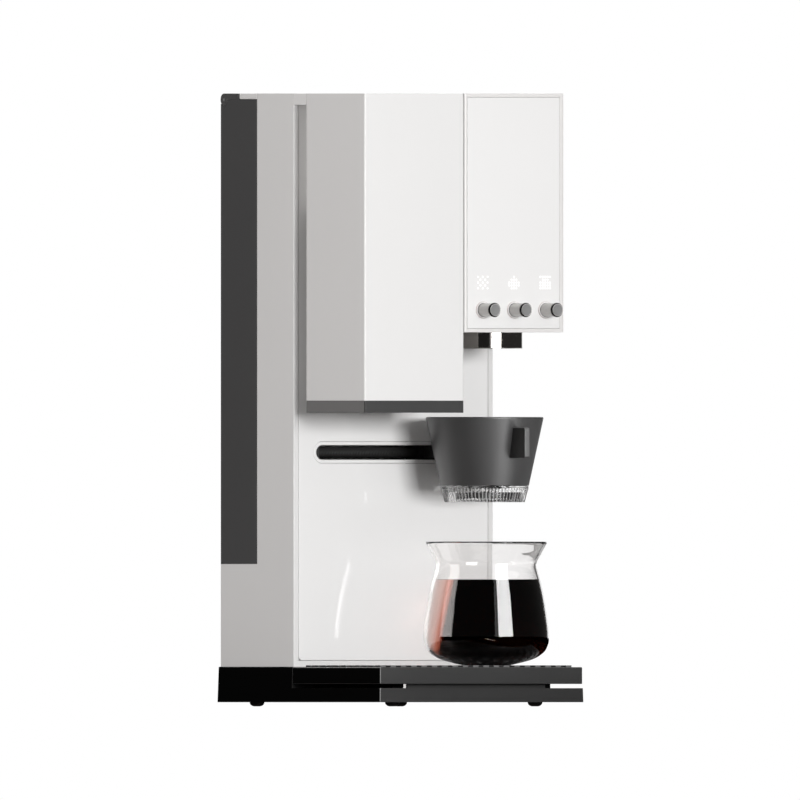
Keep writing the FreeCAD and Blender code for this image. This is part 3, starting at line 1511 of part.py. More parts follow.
def knobs():
    """Turn-and-push knobs: a slim metal sleeve with a wider end cap, each on a spindle that clicks in."""
    sleeve = s.knob_dia / 2
    cap = s.knob_cap_dia / 2
    reach = s.knob_reach
    dish = s.knob_cap_length / 6
    bore = s.spindle_dia / 2 + s.run_gap
    deep = reach - s.knob_cap_length
    for name, x in zip(knob_names, knob_x):
        knob = Piece(name + "_knob")
        knob.place(x, module_front - reach, knob_z, turn="Y")
        knob.turn([(0, dish), (cap * 0.8, dish), (cap * 0.9, 0), (cap, dish),
                   (cap, s.knob_cap_length), (sleeve, s.knob_cap_length + dish),
                   (sleeve, reach + s.knob_root), (bore, reach + s.knob_root),
                   (bore, reach - deep), (0, reach - deep)])
        spindle = Piece(name + "_spindle")
        back_end = board_back - module_front + s.knob_travel
        spindle.place(x, module_front, knob_z, turn="Y")
        thin = s.spindle_dia / 2
        spindle.turn([(0, -deep + s.part_gap), (thin, -deep + s.part_gap), (thin, back_end), (0, back_end)])


def nozzle():
    """Polished nozzle under the brew head: a plain drum with a stem into the head, and a shower plate."""
    radius = s.nozzle_dia / 2
    wall = s.nozzle_wall
    foot = head_foot - s.nozzle_height
    stem = s.nozzle_stem_dia / 2 - s.part_gap
    bore = s.hose_bore / 2
    barb = s.nipple_dia / 2
    drum = Piece("nozzle")
    drum.place(brew_x, module_middle, 0)
    stem_top = head_foot + s.nipple_length
    drum.turn([(radius - wall, foot), (radius, foot), (radius, head_foot), (stem, head_foot),
               (stem, stem_top - s.run_gap * 20), (barb, stem_top), (bore, stem_top),
               (bore, head_foot - wall), (radius - wall, head_foot - wall)])
    plate = Piece("shower_plate")
    plate.place(brew_x, module_middle, 0)
    seat = foot + wall
    disc = radius - wall - s.part_gap / 3
    plate.turn([(0, seat), (disc, seat), (disc, seat + s.shower_plate_thickness),
                (0, seat + s.shower_plate_thickness)])
    plate.pocket("XY", (seat, seat + s.shower_plate_thickness),
                 circle(disc * 0.62, 0, s.shower_hole_dia / 2))
    plate.spread_round(s.shower_holes)


carafe_foot = grille_top + s.part_gap / 3


def carafe():
    """Glass carafe: a wide belly over a small flat foot, drawn in to a neck and flared at its lip."""
    rim_z = s.carafe_rim_height
    rings = ((s.carafe_heel_dia, s.carafe_heel_drop), (s.carafe_hip_dia, s.carafe_hip_drop),
             (s.carafe_haunch_dia, s.carafe_haunch_drop), (s.carafe_belly_dia, s.carafe_belly_drop),
             (s.carafe_waist_dia, s.carafe_waist_drop), (s.carafe_shoulder_dia, s.carafe_shoulder_drop),
             (s.carafe_neck_dia, s.carafe_neck_drop), (s.carafe_flare_dia, s.carafe_flare_drop))
    outline = [(s.carafe_base_dia / 2, carafe_foot)]
    outline += [(dia / 2, rim_z - drop) for dia, drop in rings]
    outline.append((s.carafe_rim_dia / 2, rim_z))
    wall = float(s.carafe_wall)

    def curve(points):
        line = Part.BSplineCurve()
        line.interpolate(points)
        return line

    outer = [Vector(float(radius), 0, float(height)) for radius, height in outline]
    outer.insert(1, outer[0] + Vector(wall, 0, wall * 0.04))
    outside = curve(outer)
    inner = []
    for point in outer:
        along = outside.tangent(outside.parameter(point))[0]
        inner.append(point + Vector(-along.z, 0, along.x) * wall)
    inside = curve(inner)
    foot_out, foot_in, lip_out, lip_in = outer[0], inner[0], outer[-1], inner[-1]
    lip_end = outside.tangent(outside.LastParameter)[0]
    lip_top = (lip_in + lip_out) * 0.5 + lip_end * (wall / 2)
    edges = [
        outside.toShape(),
        Part.Arc(lip_out, lip_top, lip_in).toShape(),
        inside.toShape(),
        Part.LineSegment(foot_in, Vector(0, 0, foot_in.z)).toShape(),
        Part.LineSegment(Vector(0, 0, foot_in.z), Vector(0, 0, foot_out.z)).toShape(),
        Part.LineSegment(Vector(0, 0, foot_out.z), foot_out).toShape(),
    ]
    wire = Part.Wire(Part.sortEdges(edges)[0])
    glass = Part.Face(wire).revolve(ORIGIN, UP, 360)
    glass = Part.Solid(glass.Shells[0]) if glass.Shells else glass
    thing = shaped("carafe", glass)
    spot = Vector(float(brew_x - s.carafe_side_shift), float(module_middle - s.carafe_front_shift), 0)
    thing.Placement = FreeCAD.Placement(spot, Rotation())


def check_and_export():
    """Stops on a failed object or a bad shape, and writes one file for each piece."""
    doc.recompute()
    for thing in doc.Objects:
        if "Invalid" in thing.State or "Error" in thing.State:
            raise RuntimeError("%s failed: %s" % (thing.Label, thing.State))
    os.makedirs("parts", exist_ok=True)
    for thing in nodes:
        shape = thing.Shape
        if shape.isNull() or not shape.isValid() or not shape.Solids:
            raise RuntimeError("%s has a bad shape" % thing.Label)
        shape.exportStep(os.path.join("parts", thing.Label + ".step"))
    print("%d pieces, %d solids" % (len(nodes), sum(len(thing.Shape.Solids) for thing in nodes)))


def main():
    base_housing()
    bottom_plate()
    feet()
    case_screws()
    load_cell()
    scale_platform()
    drip_tray()
    drip_grille()
    column_shell()
    front_panel()
    slot_bezel()
    carriage_drive()
    carriage()
    dripper_sleeve()
    clear_basket()
    drip_outlet()
    water_tank()
    tank_fittings()
    water_path()
    power_parts()
    module_bridge()
    grinder_housing()
    grinder_trim()
    hopper_lid()
    bean_hopper()
    grinder_works()
    grinder_drive()
    grounds_chute()
    head_housing()
    display_panel()
    control_board()
    knob_collars()
    knobs()
    nozzle()
    carafe()
    check_and_export()


main()
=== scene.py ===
"""Looks of the pour-over coffee maker, built round its packed solids."""

import json
import math

import bpy
from bpy.props import FloatProperty, FloatVectorProperty, IntProperty, PointerProperty
from mathutils import Matrix, Vector

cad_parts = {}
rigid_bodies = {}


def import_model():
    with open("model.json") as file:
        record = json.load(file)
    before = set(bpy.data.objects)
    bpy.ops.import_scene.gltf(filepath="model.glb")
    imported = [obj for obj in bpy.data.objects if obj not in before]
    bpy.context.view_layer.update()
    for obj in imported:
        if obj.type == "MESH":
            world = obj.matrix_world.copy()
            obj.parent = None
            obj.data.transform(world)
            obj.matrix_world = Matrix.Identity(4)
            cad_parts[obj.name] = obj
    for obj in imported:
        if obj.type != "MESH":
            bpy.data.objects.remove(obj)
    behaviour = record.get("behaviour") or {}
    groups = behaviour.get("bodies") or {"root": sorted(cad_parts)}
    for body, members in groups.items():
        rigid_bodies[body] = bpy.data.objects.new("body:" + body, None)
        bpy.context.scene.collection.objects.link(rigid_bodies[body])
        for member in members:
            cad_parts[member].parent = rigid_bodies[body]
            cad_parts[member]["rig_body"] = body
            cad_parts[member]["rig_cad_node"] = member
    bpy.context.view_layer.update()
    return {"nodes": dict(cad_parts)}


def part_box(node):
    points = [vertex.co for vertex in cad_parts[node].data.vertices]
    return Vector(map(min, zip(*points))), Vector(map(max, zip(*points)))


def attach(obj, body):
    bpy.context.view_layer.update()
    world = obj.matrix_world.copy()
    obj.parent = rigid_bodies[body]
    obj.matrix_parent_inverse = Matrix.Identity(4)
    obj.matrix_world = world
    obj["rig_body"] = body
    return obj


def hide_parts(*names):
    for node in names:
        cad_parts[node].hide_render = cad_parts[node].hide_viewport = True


bl_info = {
    "name": "Pour-over coffee maker",
    "version": (1, 0, 0),
    "blender": (4, 5, 0),
    "location": "View3D > Sidebar > Coffee maker",
    "description": "Builds the finished pieces of a pour-over coffee maker round its solids",
    "category": "Object",
}

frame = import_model()
MM = 0.001


def middle_of(node):
    """Centre of a solid's box."""
    low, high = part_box(node)
    return (low + high) / 2


def length(name, description, default, low=0.0, high=1.0):
    return FloatProperty(name=name, description=description, default=default, min=low, max=high,
                         unit="LENGTH", precision=5)


def glow(name, description, default):
    return FloatProperty(name=name, description=description, default=default, min=0)


def colour(name, description, default):
    return FloatVectorProperty(name=name, description=description, default=default, size=3,
                               min=0, max=1, subtype="COLOR")


class MachineSizes(bpy.types.PropertyGroup):
    """Sizes of the finished pieces"""

    shell_edge: length("Shell edge", "Rounding of the sheet metal edges", 0.5 * MM)
    fine_edge: length("Fine edge", "Rounding of small moulded and machined edges", 0.22 * MM)
    dot_pitch: length("Lamp pitch", "Distance between two lamp dots", 2.06 * MM)
    dot_width: length("Lamp width", "Width of one lamp dot", 1.22 * MM)
    dot_rise: length("Lamp rise", "Height of a lamp dot over the knob's axis", 19.65 * MM)
    skirt_ribs: IntProperty(name="Skirt ribs", description="Ribs round the clear skirt", default=72, min=12)
    thread_pitch: length("Thread pitch", "Distance between two ridges of the lead screw", 4 / 3 * MM)
    thread_depth: length("Thread depth", "Depth of the lead screw's thread", 0.7 * MM)
    coffee_level: length("Coffee level", "Height of the coffee's surface", 91.0 * MM)
    glass_gap: length("Glass gap", "Gap between the coffee and the glass", 0.06 * MM)
    pad_edge: length("Pad edge", "Rounding of the grille's pads", 0.55 * MM)


class MachineFinish(bpy.types.PropertyGroup):
    """Colours and gloss of the machine"""

    paint: colour("Paint", "Satin white paint of the housings", (0.80, 0.795, 0.79))
    gloss_white: colour("Gloss white", "White behind the glossy panels", (0.935, 0.93, 0.925))
    black: colour("Black", "Moulded black of the platform and tray", (0.022, 0.022, 0.022))
    dark_satin: colour("Dark satin", "Dripper", (0.034, 0.0335, 0.034))
    smoke: colour("Smoke", "Smoked wall of the water tank", (0.071, 0.071, 0.072))
    bright_metal: colour("Bright metal", "Casing of the heater", (0.72, 0.71, 0.70))
    steel: colour("Steel", "Ground steel", (0.42, 0.42, 0.43))
    nozzle: colour("Nozzle", "Dark polished nozzle", (0.52, 0.495, 0.475))
    coffee: colour("Coffee", "Light that the coffee lets through", (0.0012, 0.0002, 0.0001))
    glass_tint: colour("Glass", "Tint of the glass", (1.0, 0.993, 0.99))


class MachineStage(bpy.types.PropertyGroup):
    """Camera and lamps"""

    camera_turn: FloatProperty(name="Camera turn", description="Camera's turn to the left of the front",
                               default=math.radians(33), subtype="ANGLE")
    view_width: length("View width", "Width of the picture at the machine", 0.57432, high=5)
    centre_height: length("Centre height", "Height of the picture's middle", 0.21996)
    camera_shift: length("Camera shift", "How far the machine stands right of the middle", 0.31 * MM)
    key_glow: glow("Key", "Brightness of the key lamp", 38.0)
    side_glow: glow("Side", "Brightness of the lamp on the left", 3.25)
    strip_glow: glow("Strip", "Brightness of the strip lamp", 12.0)
    floor_glow: glow("Floor", "Brightness of the card the dripper mirrors", 3.7)
    top_glow: glow("Top", "Brightness of the lamp over the machine", 12.0)
    air_light: glow("Air", "Light from all round", 0.2)


def sizes():
    return bpy.context.scene.machine_sizes


def finish():
    return bpy.context.scene.machine_finish


def stage():
    return bpy.context.scene.machine_stage


# Node groups and materials


def group_nodes(name, inputs, outputs):
    """An empty node group with its sockets, and its input and output nodes."""
    tree = bpy.data.node_groups.new(name, "ShaderNodeTree")
    for label, default in inputs.items():
        kind = "NodeSocketVector" if isinstance(default, tuple) else "NodeSocketFloat"
        tree.interface.new_socket(label, in_out="INPUT", socket_type=kind).default_value = default
    for label in outputs:
        tree.interface.new_socket(label, in_out="OUTPUT", socket_type="NodeSocketFloat")
    return tree, tree.nodes.new("NodeGroupInput"), tree.nodes.new("NodeGroupOutput")


def add_node(tree, kind, links=None, **values):
    """Adds a node, sets its properties and its sockets, and links its inputs."""
    node = tree.nodes.new(kind)
    for name, value in values.items():
        if hasattr(node, name):
            setattr(node, name, value)
        else:
            node.inputs[name.replace("_", " ")].default_value = value
    for name, socket in (links or {}).items():
        tree.links.new(socket, node.inputs[name])
    return node


def math_node(tree, operation, first, second, clamp=False):
    node = tree.nodes.new("ShaderNodeMath")
    node.operation = operation
    node.use_clamp = clamp
    for socket, value in zip(node.inputs, (first, second)):
        if isinstance(value, (int, float)):
            socket.default_value = value
        else:
            tree.links.new(value, socket)
    return node.outputs[0]


def place_on(tree):
    """The piece's own coordinates."""
    return tree.nodes.new("ShaderNodeTexCoord").outputs["Object"]


def noise(tree, links, **values):
    return add_node(tree, "ShaderNodeTexNoise", links, **values).outputs["Fac"]


def put_out(tree, start, end, cloud, height):
    """Swings a group's roughness by one noise, scales its height by another and puts both out."""
    swing = math_node(tree, "MULTIPLY", math_node(tree, "SUBTRACT", cloud, 0.5), start.outputs["Variation"])
    tree.links.new(math_node(tree, "ADD", start.outputs["Roughness"], swing, clamp=True),
                   end.inputs["Roughness"])
    tree.links.new(math_node(tree, "MULTIPLY", height, start.outputs["Depth"]), end.inputs["Height"])
    return tree


def grain_group():
    """Fine grain for roughness and bump: an even speckle with a slow cloud over it."""
    tree, start, end = group_nodes(
        "surface_grain", {"Scale": 1500.0, "Roughness": 0.4, "Variation": 0.1, "Depth": 0.05},
        ("Roughness", "Height"))
    place = place_on(tree)
    speckle = noise(tree, {"Vector": place, "Scale": start.outputs["Scale"]}, Detail=3.0)
    return put_out(tree, start, end, noise(tree, {"Vector": place}, Scale=14.0, Detail=4.0), speckle)


def brush_group():
    """Fine lines of ground metal that run along one axis."""
    tree, start, end = group_nodes(
        "ground_lines", {"Stretch": (1.0, 1.0, 60.0), "Roughness": 0.25, "Variation": 0.2, "Depth": 0.3},
        ("Roughness", "Height"))
    scaled = add_node(tree, "ShaderNodeVectorMath", {0: place_on(tree), 1: start.outputs["Stretch"]},
                      operation="MULTIPLY")
    lines = noise(tree, {"Vector": scaled.outputs[0]}, Scale=120.0, Detail=5.0)
    return put_out(tree, start, end, lines, lines)


def wear_group():
    """A mask that is light on worn outer edges, broken up by noise."""
    tree, start, end = group_nodes("edge_wear", {"Threshold": 0.53, "Amount": 0.3}, ("Mask",))
    shape = tree.nodes.new("ShaderNodeNewGeometry")
    patches = noise(tree, {"Vector": place_on(tree)}, Scale=60.0, Detail=4.0)
    above = math_node(tree, "SUBTRACT", shape.outputs["Pointiness"], start.outputs["Threshold"])
    sharp = math_node(tree, "MULTIPLY", above, 14.0, clamp=True)
    broken = math_node(tree, "MULTIPLY", sharp, patches, clamp=True)
    tree.links.new(math_node(tree, "MULTIPLY", broken, start.outputs["Amount"], clamp=True),
                   end.inputs["Mask"])
    return tree


GROUPS = {}


def effect(tree, builder, **values):
    """Places a shared effect in a material, and builds it the first time."""
    if builder not in GROUPS:
        GROUPS[builder] = builder()
    node = tree.nodes.new("ShaderNodeGroup")
    node.node_tree = GROUPS[builder]
    for label, value in values.items():
        node.inputs[label].default_value = value
    return node


def shader_of(name, base, **sockets):
    """A new material with one Principled shader, whose plain sockets are set."""
    material = bpy.data.materials.new(name)
    material.use_nodes = True
    tree = material.node_tree
    shader = tree.nodes["Principled BSDF"]
    shader.inputs["Base Color"].default_value = (*base, 1)
    for label, value in sockets.items():
        shader.inputs[label.replace("_", " ")].default_value = value
    return material, tree, shader


def drive(tree, shader, source, strength=0.0, distance=0.0):
    """Lets an effect drive a shader's roughness and, where a strength is given, its bump."""
    tree.links.new(source.outputs["Roughness"], shader.inputs["Roughness"])
    if strength:
        bump = add_node(tree, "ShaderNodeBump", {"Height": source.outputs["Height"]}, Strength=strength,
                        Distance=distance)
        tree.links.new(bump.outputs[0], shader.inputs["Normal"])


def cloud(tree, shader, scale, roughness, variation=0.02):
    """A slow cloud in the gloss of a smooth surface."""
    drive(tree, shader, effect(tree, grain_group, Scale=scale, Roughness=roughness, Variation=variation,
                               Depth=0.0))


def mix_shaders(tree, factor, first, second, output):
    """Blends two shaders into an output."""
    blend = tree.nodes.new("ShaderNodeMixShader")
    for socket, source in zip(blend.inputs, (factor, first, second)):
        tree.links.new(source, socket)
    tree.links.new(blend.outputs[0], output.inputs["Surface"])


def speckled(name, base, roughness, scale=1500.0, variation=0.1, depth=0.05, strength=0.15, wear=0.0,
             worn=(0, 0, 0), **sockets):
    """Paint or moulded plastic: grain in its gloss and its surface, and a little wear on its edges."""
    material, tree, shader = shader_of(name, base, **sockets)
    grain = effect(tree, grain_group, Scale=scale, Roughness=roughness, Variation=variation, Depth=depth)
    drive(tree, shader, grain, strength, 0.2 * MM)
    if wear:
        mask = effect(tree, wear_group, Amount=wear)
        blend = tree.nodes.new("ShaderNodeMix")
        blend.data_type = "RGBA"
        blend.inputs["A"].default_value = (*base, 1)
        blend.inputs["B"].default_value = (*worn, 1)
        tree.links.new(mask.outputs[0], blend.inputs["Factor"])
        tree.links.new(blend.outputs["Result"], shader.inputs["Base Color"])
    return material


def ground(name, base, roughness, stretch=(1.0, 1.0, 60.0), variation=0.2, depth=0.3, strength=0.1):
    """Ground or turned metal."""
    material, tree, shader = shader_of(name, base, Metallic=1.0)
    lines = effect(tree, brush_group, Stretch=stretch, Roughness=roughness, Variation=variation,
                   Depth=depth)
    drive(tree, shader, lines, strength, 0.1 * MM)
    return material


def see_through(name, base, roughness, ior):
    """Glass or clear plastic with faint streaks in its gloss."""
    material, tree, shader = shader_of(name, base, Transmission_Weight=1.0, IOR=ior)
    cloud(tree, shader, 300.0, roughness)
    return material


# Painted light: shades of the coffee from its edge on the camera's left inwards, by their share of the way;
# the pale, reddish side stands in for light seen through the coffee.
COFFEE_PAINTED_LIGHT_SIDE = ((0.0, (0.95, 0.80, 0.77, 1)), (0.5, (0.88, 0.58, 0.51, 1)), (0.64, (0.66, 0.14, 0.07, 1)))
COFFEE_DARK = 0.76


def coffee_with_painted_light_side(name, base):
    """Coffee: black, with painted light: a pale, reddish side towards the camera's left that stands in for
    light seen through the coffee.
    """
    material, tree, shader = shader_of(name, base, Transmission_Weight=1.0, IOR=1.06)
    cloud(tree, shader, 40.0, 0.02)
    turn, middle = stage().camera_turn, middle_of("carafe")
    across = Vector((math.cos(turn), -math.sin(turn), -0.2))
    side = add_node(tree, "ShaderNodeVectorMath", {0: place_on(tree)}, operation="DOT_PRODUCT")
    side.inputs[1].default_value = across
    belly, way = 45 * MM, 28 * MM
    depth = math_node(tree, "SUBTRACT", side.outputs["Value"], middle.dot(across) - belly)
    ramp = tree.nodes.new("ShaderNodeValToRGB")
    tree.links.new(math_node(tree, "DIVIDE", depth, way, clamp=True), ramp.inputs[0])
    stops = ramp.color_ramp.elements
    stops[0].position, stops[0].color = COFFEE_PAINTED_LIGHT_SIDE[0]
    stops[1].position, stops[1].color = COFFEE_DARK, (*base, 1)
    for position, shade in COFFEE_PAINTED_LIGHT_SIDE[1:]:
        stops.new(position).color = shade
    tree.links.new(ramp.outputs[0], shader.inputs["Base Color"])
    return material


def lamp_finish(name, base):
    """Lamp dot: a milky lens that glows."""
    material, tree, shader = shader_of(name, base, Emission_Strength=0.5, Emission_Color=(1, 1, 1, 1))
    cloud(tree, shader, 900.0, 0.35, 0.05)
    return material


def card_finish(name, level, tint):
    """Matt card of one even brightness, which shows only its face."""
    material, tree, shader = shader_of(name, (0, 0, 0), Emission_Strength=level, Specular_IOR_Level=0.0,
                                       Emission_Color=(*tint, 1))
    cloud(tree, shader, 40.0, 0.9, 0.05)
    shape = tree.nodes.new("ShaderNodeNewGeometry")
    clear = tree.nodes.new("ShaderNodeBsdfTransparent")
    mix_shaders(tree, shape.outputs["Backfacing"], shader.outputs[0], clear.outputs[0],
                tree.nodes["Material Output"])
    return material


MATERIALS = {}


def material_named(name):
    """Builds a finish the first time that a piece asks for it."""
    if name not in MATERIALS:
        maker, base, *values = FINISHES[name]
        sockets = values.pop() if values and isinstance(values[-1], dict) else {}
        if isinstance(base, str):
            base = getattr(finish(), base)
        elif isinstance(base, float):
            base = (base, base, base)
        MATERIALS[name] = maker(name, base, *values, **sockets)
    return MATERIALS[name]


# Each finish: its maker, its colour and the maker's own values in order, then those by name.
# A colour is a name from MachineFinish, one number for a grey, or three.
FINISHES = {
    "white_metal": (speckled, "paint", 0.42, 1800, 0.08, 0.05, 0.10,
                    dict(wear=0.10, worn=(0.62, 0.61, 0.60))),
    "gloss_white": (speckled, "gloss_white", 0.30, 600, 0.05, 0.02, 0.03,
                    dict(Coat_Weight=0.55, Coat_Roughness=0.04)),
    "display_white": (speckled, (0.90, 0.895, 0.89), 0.35, 600, 0.05, 0.02, 0.03,
                      dict(Coat_Weight=0.6, Coat_Roughness=0.06)),
    "bright_metal": (ground, "bright_metal", 0.45, (1, 1, 40), 0.12),
    "knob_metal": (ground, (0.42, 0.41, 0.40), 0.34, (1, 1, 1), 0.12),
    "knob_face": (speckled, 0.19, 0.38, 900, 0.08, 0.04, 0.1),
    "knob_band": (speckled, 0.004, 0.16, 900, 0.05, dict(Specular_IOR_Level=0.3)),
    "collar_white": (speckled, (0.95, 0.945, 0.94), 0.35, 600, 0.05, 0.02, 0.03),
    # Painted shade: a pinkish grey for the collars' outer sides.
    "collar_rim_painted_shade": (speckled, (0.62, 0.57, 0.56), 0.4, 600, 0.05, 0.02, 0.03),
    "black_base": (speckled, "black", 0.36, 2200, 0.10, 0.08, 0.22,
                   dict(wear=0.25, worn=(0.05, 0.05, 0.05), Specular_IOR_Level=0.42)),
    "housing_black": (speckled, 0.0175, 0.36, 2200, 0.10, 0.08, 0.22,
                      dict(wear=0.25, worn=(0.05, 0.05, 0.05), Specular_IOR_Level=0.35)),
    "black_grille": (speckled, (0.012, 0.012, 0.0125), 0.34, 1600, 0.12, 0.06, 0.2,
                     dict(wear=0.3, worn=(0.12, 0.12, 0.12))),
    "dark_satin": (speckled, "dark_satin", 0.37, 2600, 0.08, 0.10, 0.30, dict(Specular_IOR_Level=1.0)),
    # Painted shade and light: the dripper tab's left side is darker and its front lighter than the cone.
    "tab_side_painted_shade": (speckled, 0.014, 0.5, 2600, 0.08, 0.10, 0.30, dict(Specular_IOR_Level=0.3)),
    "tab_face_painted_light": (speckled, 0.12, 0.42, 2600, 0.08, 0.10, 0.30),
    "trim_metal": (speckled, 0.031, 0.4, 2200, 0.08, 0.06, 0.2, dict(Specular_IOR_Level=0.25)),
    "rim_paint": (speckled, (0.78, 0.765, 0.755), 0.4, 1800, 0.08, 0.05, 0.1),
    # Painted shade: a darker, matter black for the base's left-facing faces.
    "left_side_painted_shade": (speckled, 0.0014, 0.9, 2200, 0.10, 0.08, 0.1, dict(Specular_IOR_Level=0.02)),
    # Painted highlight: a light grey for the bevels along the base's left edges.
    "painted_edge_highlight": (speckled, 0.22, 0.4, 2200, 0.08, 0.04, 0.1),
    "corner_gloss": (speckled, 0.003, 0.08, 900, 0.04, 0.02, 0.05, dict(Specular_IOR_Level=1.0)),
    "outlet_black": (speckled, 0.006, 0.4, 2200, 0.08, 0.04, 0.1),
    # Painted highlight: a pale, half-clear white for the outer faces of the skirt's ribs.
    "rib_painted_highlight": (speckled, 0.8, 0.5, 900, 0.05, 0.02, 0.05, dict(Alpha=0.45)),
    "screw_black": (speckled, 0.035, 0.55, 2200, 0.08, 0.04, 0.1, dict(Specular_IOR_Level=0.3)),
    # Painted light: a lighter grey for the trim's left side than its front.
    "trim_side_painted_light": (speckled, (0.150, 0.148, 0.147), 0.45, 2200, 0.06, 0.04, 0.1),
    # Painted light: a lighter grey for the front faces of the grille's pads.
    "pad_face_painted_light": (speckled, 0.11, 0.5, 2200, 0.08, 0.04, 0.1),
    "smoked_plastic": (speckled, "smoke", 0.3, 500, 0.05, 0.02, 0.05, dict(Specular_IOR_Level=0.2)),
    "clear_plastic": (see_through, 0.99, 0.03, 1.2),
    "carafe_glass": (see_through, "glass_tint", 0.0, 1.47),
    # Coffee with a painted light side: pale and reddish towards the camera's left.
    "coffee_liquid": (coffee_with_painted_light_side, "coffee"),
    "lamp_dot": (lamp_finish, 0.95),
    "rubber": (speckled, 0.012, 0.75, 1200, 0.1, 0.2, 0.4),
    "hose_silicone": (speckled, (0.62, 0.63, 0.64), 0.5, 700, 0.1, 0.05, 0.1),
    "steel": (ground, "steel", 0.28, (60, 1, 1), 0.2),
    "turned_steel": (ground, "steel", 0.22, (1, 1, 60), 0.15),
    "nozzle_mirror": (ground, "nozzle", 0.07, (1, 1, 30), 0.03, 0.1, 0.02),
    "magnet_nickel": (ground, (0.6, 0.58, 0.54), 0.18, (1, 1, 1), 0.1),
    "grey_plastic": (speckled, (0.20, 0.205, 0.21), 0.45, 1500, 0.1, 0.08, 0.2),
    "bean_plastic": (speckled, (0.10, 0.10, 0.105), 0.25, 800, 0.05, 0.03, 0.1),
    "black_metal": (speckled, (0.02, 0.02, 0.021), 0.45, 1500, 0.1, 0.08, 0.2),
    "circuit_board": (speckled, (0.01, 0.07, 0.03), 0.4, 400, 0.15, 0.1, 0.3),
    "slot_black": (speckled, 0.003, 0.6, 1200, 0.1, 0.05, 0.1),
    "floor_paper": (speckled, 0.74, 0.8, 200, 0.05, 0.05, 0.05),
}

INNER_FINISH = {
    "black_base": ("bottom_plate", "tank_valve", "tank_socket"),
    "steel": ("case_screws", "load_cell", "guide_rod", "burr_shaft", "drive_gear", "motor_pinion",
              "left_spindle", "centre_spindle", "right_spindle"),
    "slot_black": ("rail_brackets", "carriage_block"),
    "black_metal": ("carriage_motor", "pump", "grinder_motor"),
    "magnet_nickel": ("dock_magnets",),
    "grey_plastic": ("tank_lid_pin", "burr_chamber", "grounds_chute"),
    "bright_metal": ("heater",),
    "hose_silicone": ("supply_hose", "brew_hose"),
    "circuit_board": ("power_supply", "control_board"),
    "bean_plastic": ("bean_hopper",),
    "turned_steel": ("upper_burr", "lower_burr", "shower_plate"),
}

SHELL_FINISH = {
    "column_shell": "white_metal",
    "grinder_housing": "white_metal",
    "head_housing": "white_metal",
    "tank_cap": "white_metal",
    "hopper_lid": "white_metal",
    "module_bridge": "display_white",
    "front_panel": "gloss_white",
    "display_panel": "display_white",
    "slot_bezel": "gloss_white",
    "base_housing": "housing_black",
    "scale_platform": "black_base",
    "drip_tray": "black_base",
    "grinder_trim": "trim_metal",
    "water_tank": "smoked_plastic",
    "tank_lid": "dark_satin",
    "dripper_arm": "slot_black",
    "power_inlet": "black_metal",
}
# The pieces whose edges are rounder than the others'.
BROAD_EDGES = ("column_shell", "tank_cap", "base_housing", "scale_platform")


# Modelling helpers


def choose(*pieces):
    """Selects only these pieces and makes the first one active."""
    if bpy.context.object and bpy.context.object.mode != "OBJECT":
        bpy.ops.object.mode_set(mode="OBJECT")
    bpy.ops.object.select_all(action="DESELECT")
    for piece in pieces:
        piece.select_set(True)
    if pieces:
        bpy.context.view_layer.objects.active = pieces[0]


def edit(piece, action="DESELECT"):
    """Opens one piece for editing with nothing selected in it, or everything."""
    choose(piece)
    bpy.ops.object.mode_set(mode="EDIT")
    bpy.ops.mesh.select_mode(type="VERT")
    bpy.ops.mesh.select_all(action=action)


def close_edit():
    bpy.ops.object.mode_set(mode="OBJECT")


def weld():
    """Merges the doubles of the open piece and turns its faces outwards."""
    bpy.ops.mesh.select_all(action="SELECT")
    bpy.ops.mesh.remove_doubles(threshold=1e-7)
    bpy.ops.mesh.normals_make_consistent(inside=False)


def settle(piece):
    """Puts a piece's place into its mesh."""
    choose(piece)
    bpy.ops.object.transform_apply(location=True, rotation=True, scale=True)
    return piece


def apply_modifier(piece, kind, **values):
    """Adds a modifier, sets it and applies it."""
    choose(piece)
    modifier = piece.modifiers.new(kind.lower(), kind)
    for name, value in values.items():
        setattr(modifier, name, value)
    bpy.ops.object.modifier_apply(modifier=modifier.name)


def smooth(piece, angle=30):
    choose(piece)
    bpy.ops.object.shade_smooth_by_angle(angle=math.radians(angle))
    apply_modifier(piece, "WEIGHTED_NORMAL", keep_sharp=True, weight=80)


def round_edges(piece, width, segments=2, angle=40):
    apply_modifier(piece, "BEVEL", width=width, segments=segments, limit_method="ANGLE",
                   angle_limit=math.radians(angle))


def dress(piece, name, body, finish_name, nodes=()):
    """Names a finished piece, gives it its material, ties it to its body and hides the solids that it
    stands for.
    """
    piece.name = name
    piece.data.name = name
    piece.data.materials.clear()
    piece.data.materials.append(material_named(finish_name))
    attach(piece, body)
    if nodes:
        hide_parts(*nodes)
    return piece


def body_of(node):
    return frame["nodes"][node]["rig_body"]


def finished_copy(node, finish_name, width):
    """A welded copy of a solid with its flat faces made whole and its sharp edges rounded, which
    then stands for it."""
    choose(frame["nodes"][node])
    bpy.ops.object.duplicate()
    piece = bpy.context.object
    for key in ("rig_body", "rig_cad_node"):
        if key in piece:
            del piece[key]
    piece.parent = None
    edit(piece, "SELECT")
    bpy.ops.mesh.customdata_custom_splitnormals_clear()
    bpy.ops.mesh.remove_doubles(threshold=1e-6)
    bpy.ops.mesh.dissolve_limited(angle_limit=math.radians(0.3))
    close_edit()
    round_edges(piece, width)
    smooth(piece)
    return dress(piece, node + "_finished", body_of(node), finish_name, [node])


def first_point(spot):
    """A new piece of one selected point, open for editing."""
    choose()
    bpy.ops.mesh.primitive_plane_add(size=MM, location=spot)
    piece = settle(bpy.context.object)
    edit(piece, "SELECT")
    bpy.ops.mesh.merge(type="CENTER")
    return piece


def draw_to(step):
    bpy.ops.mesh.extrude_region_move(TRANSFORM_OT_translate={"value": step})


